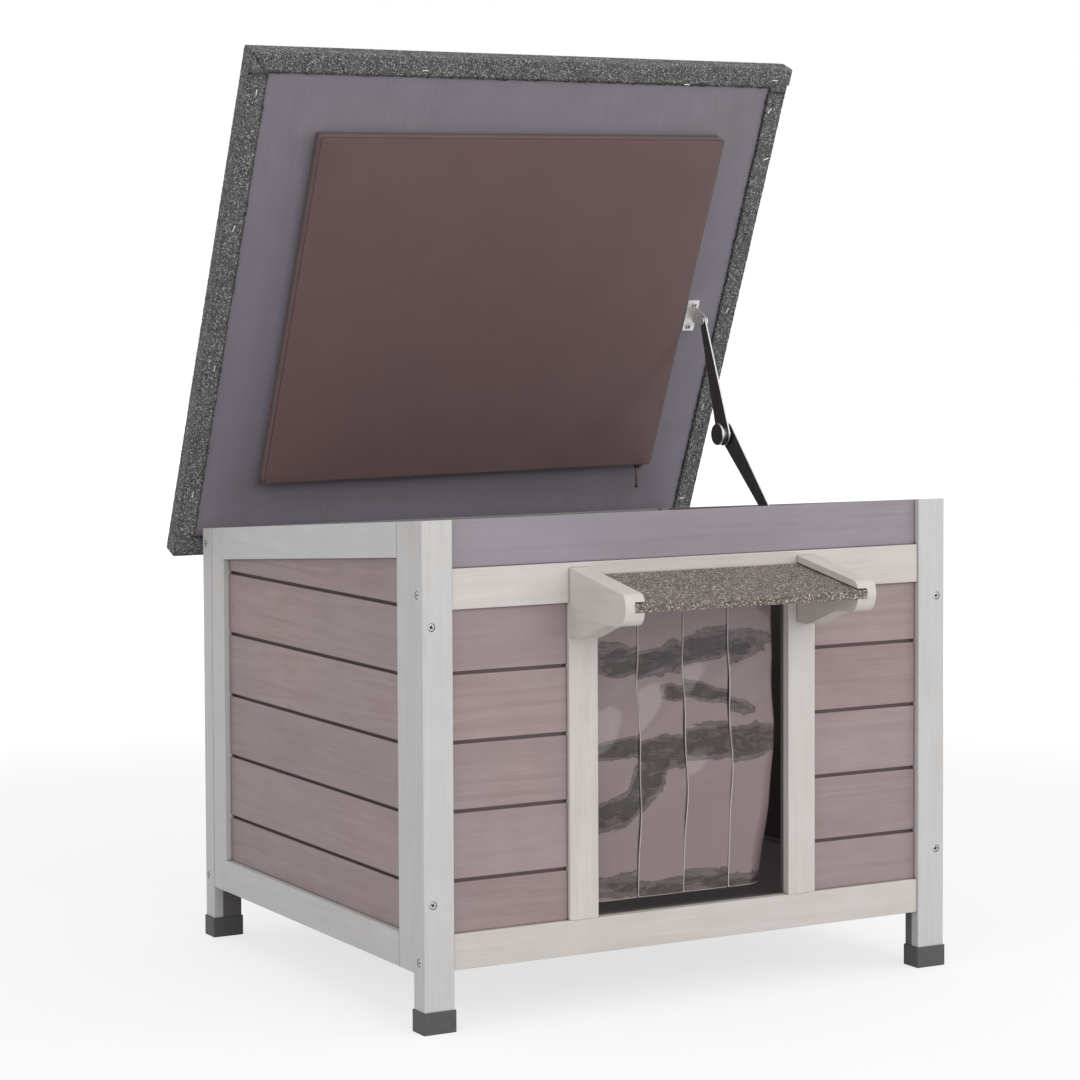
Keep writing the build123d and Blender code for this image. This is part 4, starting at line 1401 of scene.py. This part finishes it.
@dataclass
class Pad:
    """Boxed pad under the lid: side bands between two seams, and a crowned face."""

    lid: LidFrame
    corners: tuple = ((-226.5, 54.7), (234.0, 62.3), (237.5, 440.0), (-226.5, 432.0))
    underside: float = -4.0
    band: float = 15.2
    crown: float = 3.0
    corner: float = 1.2
    columns: int = 116
    rows: int = 96
    levels: tuple = (0.2, 1.4, 3.4, 7.4, 11.4, 13.6, 14.6, 14.7)
    tuck: tuple = (0.5, 0.0, 0.5, 0.9, 0.6, 0.1, 0.2, 1.5)
    # Seam values of the band rings: above 0 a painted highlight, below 0 painted shade.
    seams: tuple = (0.0, 0.6, -1.0, 0.0, 0.0, 0.0, 0.7, -1.3)

    def outline(self, a: np.ndarray, b: np.ndarray, inset: float) -> tuple[np.ndarray, np.ndarray]:
        """Places on the pad's plan, mixed from its four corners, with rounded corners.

        Args:
            a: Share across.
            b: Share up.
            inset: How far inside the outline the whole plan is drawn, in millimetres.

        Returns:
            Places across and up the lid.
        """
        p = np.array(self.corners)
        wide, tall = p[1, 0] - p[0, 0], p[3, 1] - p[0, 1]
        near_a, near_b = np.minimum(a, 1 - a) * wide, np.minimum(b, 1 - b) * tall
        near_a, near_b = rounded_corner(near_a, near_b, self.corner)
        shrink_a, shrink_b = 1 - 2 * inset / wide, 1 - 2 * inset / tall
        a = 0.5 + np.where(a < 0.5, -1, 1) * (0.5 - near_a / wide) * shrink_a
        b = 0.5 + np.where(b < 0.5, -1, 1) * (0.5 - near_b / tall) * shrink_b
        weights = np.stack([(1 - a) * (1 - b), a * (1 - b), a * b, (1 - a) * b], -1)
        place = weights @ p
        return place[..., 0], place[..., 1]

    def perimeter(self) -> np.ndarray:
        """The shares across and up of the samples round the outline, corner to corner."""
        a, b = np.linspace(0, 1, self.columns), np.linspace(0, 1, self.rows)
        parts = [(a[:-1], 0 * a[:-1]), (0 * b[:-1] + 1, b[:-1]),
                 (a[:0:-1], 0 * a[1:] + 1), (0 * b[1:], b[:0:-1])]
        return np.concatenate([np.stack(part, -1) for part in parts])

    def cover(self) -> tuple[np.ndarray, list, np.ndarray, np.ndarray]:
        """The cover before it is filled: a face and a base on grids, and bands between them.

        Returns:
            Points in metres, faces, how firmly each point is held, and each point's place
            on the cloth in metres.
        """
        a, b = np.meshgrid(np.linspace(0, 1, self.columns), np.linspace(0, 1, self.rows))
        u, v = self.outline(a, b, 1.7)
        edge = np.minimum(np.minimum(a, 1 - a) * 464, np.minimum(b, 1 - b) * 378)
        rise = self.crown * (1 - np.exp(-edge / 26.0)) + 0.9 * (1 - np.exp(-edge / 2.0))
        top = np.stack([u, v, self.band + rise], -1).reshape(-1, 3)
        base_u, base_v = self.outline(a, b, 1.5)
        base = np.stack([base_u, base_v, 0 * base_u + 0.05], -1).reshape(-1, 3)
        ring = self.perimeter()
        bands = []
        for height, tuck in zip(self.levels, self.tuck):
            ring_u, ring_v = self.outline(ring[:, 0], ring[:, 1], tuck)
            bands.append(np.stack([ring_u, ring_v, 0 * ring_u + height], -1))
        points = np.concatenate([top, base, *bands])
        size = self.columns * self.rows
        band_loops = [2 * size + i * len(ring) + np.arange(len(ring)) for i in range(len(bands))]
        loops = [self.edge_loop(size), *band_loops, self.edge_loop(0)]
        faces = lattice(self.rows, self.columns).tolist()
        faces += (lattice(self.rows, self.columns)[:, ::-1] + size).tolist()
        for lower, upper in zip(loops[:-1], loops[1:]):
            turn = np.roll(np.arange(len(ring)), -1)
            faces += np.stack([lower, lower[turn], upper[turn], upper], -1).tolist()
        held = np.zeros(len(points))
        held[size:2 * size] = 1.0
        for loop in (*loops[1:4], *loops[-4:]):
            held[loop] = 1.0
        flat = points[:, :2].copy()
        flat[2 * size:] += np.stack([points[2 * size:, 2], points[2 * size:, 2]], -1)
        placed = self.lid.place(points[:, 0], points[:, 1], self.underside + points[:, 2])
        return placed, faces, held, flat * MM

    def edge_loop(self, first: int) -> np.ndarray:
        """Point numbers round a grid's edge, in the perimeter's order.

        Args:
            first: The number of the grid's first point.

        Returns:
            The numbers.
        """
        n, m = self.columns, self.rows
        numbers = np.arange(n * m).reshape(m, n) + first
        return np.concatenate([numbers[0, :-1], numbers[:-1, -1], numbers[-1, :0:-1], numbers[:0:-1, 0]])

    def build(self, cloth: bpy.types.Material) -> bpy.types.Object:
        """Make the cover, fill it with a short cloth simulation, and add its seams.

        Args:
            cloth: The cloth's material.

        Returns:
            The pad.
        """
        points, faces, held, flat = self.cover()
        size = self.columns * self.rows
        seam = np.zeros(len(points))
        seam[2 * size:] = np.repeat(self.seams, len(self.perimeter()))
        seam[self.edge_loop(0)] = 0.5
        piece = surface("pad_cover", points, faces, cloth, sharp=180, seam=seam)
        mesh = piece.data
        places = np.empty(len(mesh.vertices) * 3)
        mesh.vertices.foreach_get("co", places)
        rest = places.reshape(-1, 3).copy()
        layer = mesh.uv_layers.new(name="cloth")
        corner = np.empty(len(mesh.loops), int)
        mesh.loops.foreach_get("vertex_index", corner)
        layer.data.foreach_set("uv", flat[corner].ravel())
        moved = self.fill(piece, held)
        shift = moved - rest
        length = np.linalg.norm(shift, axis=1, keepdims=True)
        shift *= np.minimum(1.0, 0.004 / np.maximum(length, 1e-9))
        mesh.vertices.foreach_set("co", (rest + shift).ravel())
        mesh.update()
        subdivision = piece.modifiers.new("smooth", "SUBSURF")
        subdivision.levels = subdivision.render_levels = 1
        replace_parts(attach(piece, "lid"), "pad")
        LOG.info("%s: %d points", piece.name, len(mesh.vertices))
        return piece

    def fill(self, piece: bpy.types.Object, held: np.ndarray) -> np.ndarray:
        """Press the cover out from inside for twenty frames of cloth.

        Args:
            piece: The cover.
            held: How firmly each point is held.

        Returns:
            The points after it, in metres.
        """
        copy = piece.copy()
        copy.data = piece.data.copy()
        bpy.context.scene.collection.objects.link(copy)
        group = copy.vertex_groups.new(name="held")
        for weight in np.unique(held[held > 0]):
            group.add([int(i) for i in np.flatnonzero(held == weight)], float(weight), "REPLACE")
        cloth = copy.modifiers.new("fill", "CLOTH")
        settings = cloth.settings
        settings.vertex_group_mass = "held"
        settings.quality = 5
        settings.mass = 0.25
        settings.tension_stiffness = settings.compression_stiffness = 25
        settings.bending_stiffness = 0.6
        settings.shrink_min = 0.0
        settings.use_pressure = True
        settings.uniform_pressure_force = 2.5
        settings.effector_weights.gravity = 0.0
        cloth.point_cache.frame_start, cloth.point_cache.frame_end = 1, 20
        scene = bpy.context.scene
        for number in range(1, 21):
            scene.frame_set(number)
        graph = bpy.context.evaluated_depsgraph_get()
        result = copy.evaluated_get(graph).to_mesh()
        places = np.empty(len(result.vertices) * 3)
        result.vertices.foreach_get("co", places)
        scene.frame_set(1)
        old = copy.data
        bpy.data.objects.remove(copy)
        bpy.data.meshes.remove(old)
        return places.reshape(-1, 3)


@dataclass
class ScrewHeads:
    """Flush cross-head screws: a flat head with a rounded rim and a sunk cross."""

    radius: float
    height: float
    cross: float = 1.15

    def head(self) -> tuple[np.ndarray, np.ndarray]:
        """One head as rings round its middle: radius, angle and a height that dips in the cross.

        Returns:
            Points in millimetres, ring by ring from the middle out and down the side, and how
            deep in the cross each lies from 0 to 1.
        """
        reach = np.array([0.02, 0.16, 0.3, 0.42, 0.54, 0.64, 0.74, 0.84, 0.93, 1.0, 1.0]) * self.radius
        drop = np.array([0, 0, 0, 0, 0, 0, 0.02, 0.06, 0.14, 0.4, 1.0])
        angle = np.linspace(0, 2 * math.pi, 48, endpoint=False)
        x, y = reach[:, None] * np.cos(angle), reach[:, None] * np.sin(angle)
        slot = 0.13 * self.radius
        across = np.minimum(np.abs(x), np.abs(y)) / slot
        along = np.maximum(np.abs(x), np.abs(y)) / (0.66 * self.radius)
        deep = np.clip(1.6 - across, 0, 1) * np.clip((1 - along) * 4, 0, 1)
        z = self.height * (1 - drop[:, None]) - self.cross * deep
        return np.stack([x, y, z], -1), deep

    def build(self, name: str, body: str, node: str, steel: bpy.types.Material,
              places: Sequence[tuple[Vector, Vector]], turns: int) -> bpy.types.Object:
        """Set a head at each place and join them as one piece.

        Args:
            name: The piece's name.
            body: The body that it rides on.
            node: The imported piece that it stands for.
            steel: The heads' material.
            places: Each head's seat and outward direction, in metres.
            turns: What the heads' turns are drawn from.

        Returns:
            The heads.
        """
        shape, deep = self.head()
        rings, count = deep.shape
        tube = lattice(rings, count, ring=True)
        random = np.random.default_rng(turns)
        points, faces = [], []
        for number, (seat, outward) in enumerate(places):
            spin = Matrix.Rotation(random.uniform(0, 1.5), 3, "Z")
            turn = outward.to_track_quat("Z", "Y").to_matrix() @ spin
            local = shape.reshape(-1, 3) @ np.array(turn).T
            points.append(local * MM + np.array(seat))
            first = number * rings * count
            faces += (tube + first).tolist()
            last = first + (rings - 1) * count
            faces += [list(range(first, first + count)), list(range(last, last + count))]
        # How deep each point lies in the cross, for the painted shade in the slots.
        cavity = np.tile(deep.ravel(), len(places))
        piece = surface(name, np.concatenate(points), faces, steel, 50, cavity=cavity)
        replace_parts(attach(piece, body), node)
        LOG.info("%s: %d heads", name, len(places))
        return piece


@dataclass
class Lid:
    """The lid's board, felt, pad, zip, plates and stay."""

    axes: LidFrame = field(default_factory=LidFrame)
    sunk: float = 2.3
    screw_inset: float = 9.0
    front_screws: tuple = (115, 361)
    back_screws: tuple = (110, 340)
    side_screws: tuple = ((10.5, (62.8, 389)), (487, (62, 402)))
    leaves: tuple = (-162, 162)
    leaf_screws: tuple = (-50 / 3, 0, 50 / 3)
    leaf_reach: float = 13.5
    wall_screws: tuple = (254.7, 282.7)
    plate_screws: tuple = ((254.3, 246.1), (252.2, 220.8))

    def build(self, dressing: Dressing) -> None:
        """Make and finish all that the lid carries.

        Args:
            dressing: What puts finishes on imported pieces.
        """
        ply = PlyFinish("lid board", (136, 130, 138), (110, 102, 110), (128, 125, 137),
                        self.axes.up, self.axes.inward)
        dressing.put(ply, "lid_panel")
        felt = FeltFinish("roof felt", (10, 10, 10), (136, 136, 135), (196, 196, 195), 1000).build()
        dressing.put(FeltFinish("canopy felt", (36, 30, 27), (164, 152, 144), (214, 206, 199)), "canopy_felt")
        cover = LidFelt(self.axes)
        cover.build(felt)
        cover.build_ear(felt)
        cloth = ClothFinish("pad cloth", (120, 92, 92), (88, 65, 67), (118, 82, 82)).build()
        Pad(self.axes).build(cloth)
        steel = dressing.put(
            MetalFinish("bright steel", (238, 237, 235), (202, 201, 200), 0.6, (0.3, 0.5)),
            "hinge_body_leaves", "hinge_lid_leaves", "hinge_pins", "stay_lid_plate", "stay_wall_plate",
        )
        cover.build_staples(steel)
        # The third colour of the dark steel is the painted highlight on the arms' edges.
        dark = MetalFinish("dark steel", (114, 114, 114), (80, 80, 80), 0.75, (0.35, 0.55), (225, 225, 225))
        dressing.put(dark, "stay_upper_arm", "stay_lower_arm")
        dressing.put(replace(dark, name="stud steel", collar=(249.8, 256.5)), "stay_knee_stud")
        # The last colour is the painted shade in the cross slots.
        screw = MetalFinish("screw steel", (214, 213, 211), (170, 169, 168), 0.7, (0.3, 0.5),
                            cavity=(52, 50, 48))
        self.build_screws(screw.build())
        bronze = MetalFinish("zip metal", (96, 78, 74), (60, 46, 44), 0.9, (0.3, 0.5))
        dressing.put(bronze, "zip_slider", "zip_pull")

    def build_screws(self, steel: bpy.types.Material) -> None:
        """Set the screw heads in the posts, on the plates and on the hinge leaves.

        Args:
            steel: The heads' material.
        """
        half, back, sunk = HALF_WIDTH, FRONT_Y + DEPTH, self.sunk
        places = []
        for side in (-1, 1):
            across = side * (half - self.screw_inset)
            places += [((across, FRONT_Y + sunk, height), (0, -1, 0)) for height in self.front_screws]
            places += [((across, back - sunk, height), (0, 1, 0)) for height in self.back_screws]
            for distance, heights in self.side_screws:
                for height in heights:
                    places.append(((side * (half - sunk), FRONT_Y + distance, height), (side, 0, 0)))
        leaves = [place + shift for place in self.leaves for shift in self.leaf_screws]
        for place in leaves:
            places.append(((place, back + 0.2, self.axes.pin[1] - self.leaf_reach), (0, 1, 0)))
        for distance in self.wall_screws:
            places.append(((264.2, FRONT_Y + distance, 423), (-1, 0, 0)))
        seats = [(Vector(seat) * MM, Vector(outward)) for seat, outward in places]
        ScrewHeads(3.45, 2.1).build("body_screw_heads", "house", "body_screws", steel, seats, 5)
        inward = Vector(self.axes.inward)
        on_lid = [(across, up, -2.9) for across, up in self.plate_screws]
        on_lid += [(place, -self.leaf_reach, 0.4) for place in leaves]
        seats = [(Vector(self.axes.place(u, v, level)), inward) for u, v, level in on_lid]
        ScrewHeads(2.9, 1.9, 0.9).build("lid_screw_heads", "lid", "lid_screws", steel, seats, 6)


def main() -> None:
    """Build the studio, then each sub-assembly in turn."""
    logging.basicConfig(level=logging.INFO, format="%(name)s: %(message)s")
    make_groups()
    Studio().build()
    dressing = Dressing()
    House().build(dressing)
    Curtain().build(dressing)
    Lid().build(dressing)
    LOG.info("%d packed pieces finished", len(dressing.done))


if __name__ == "__main__":
    main()
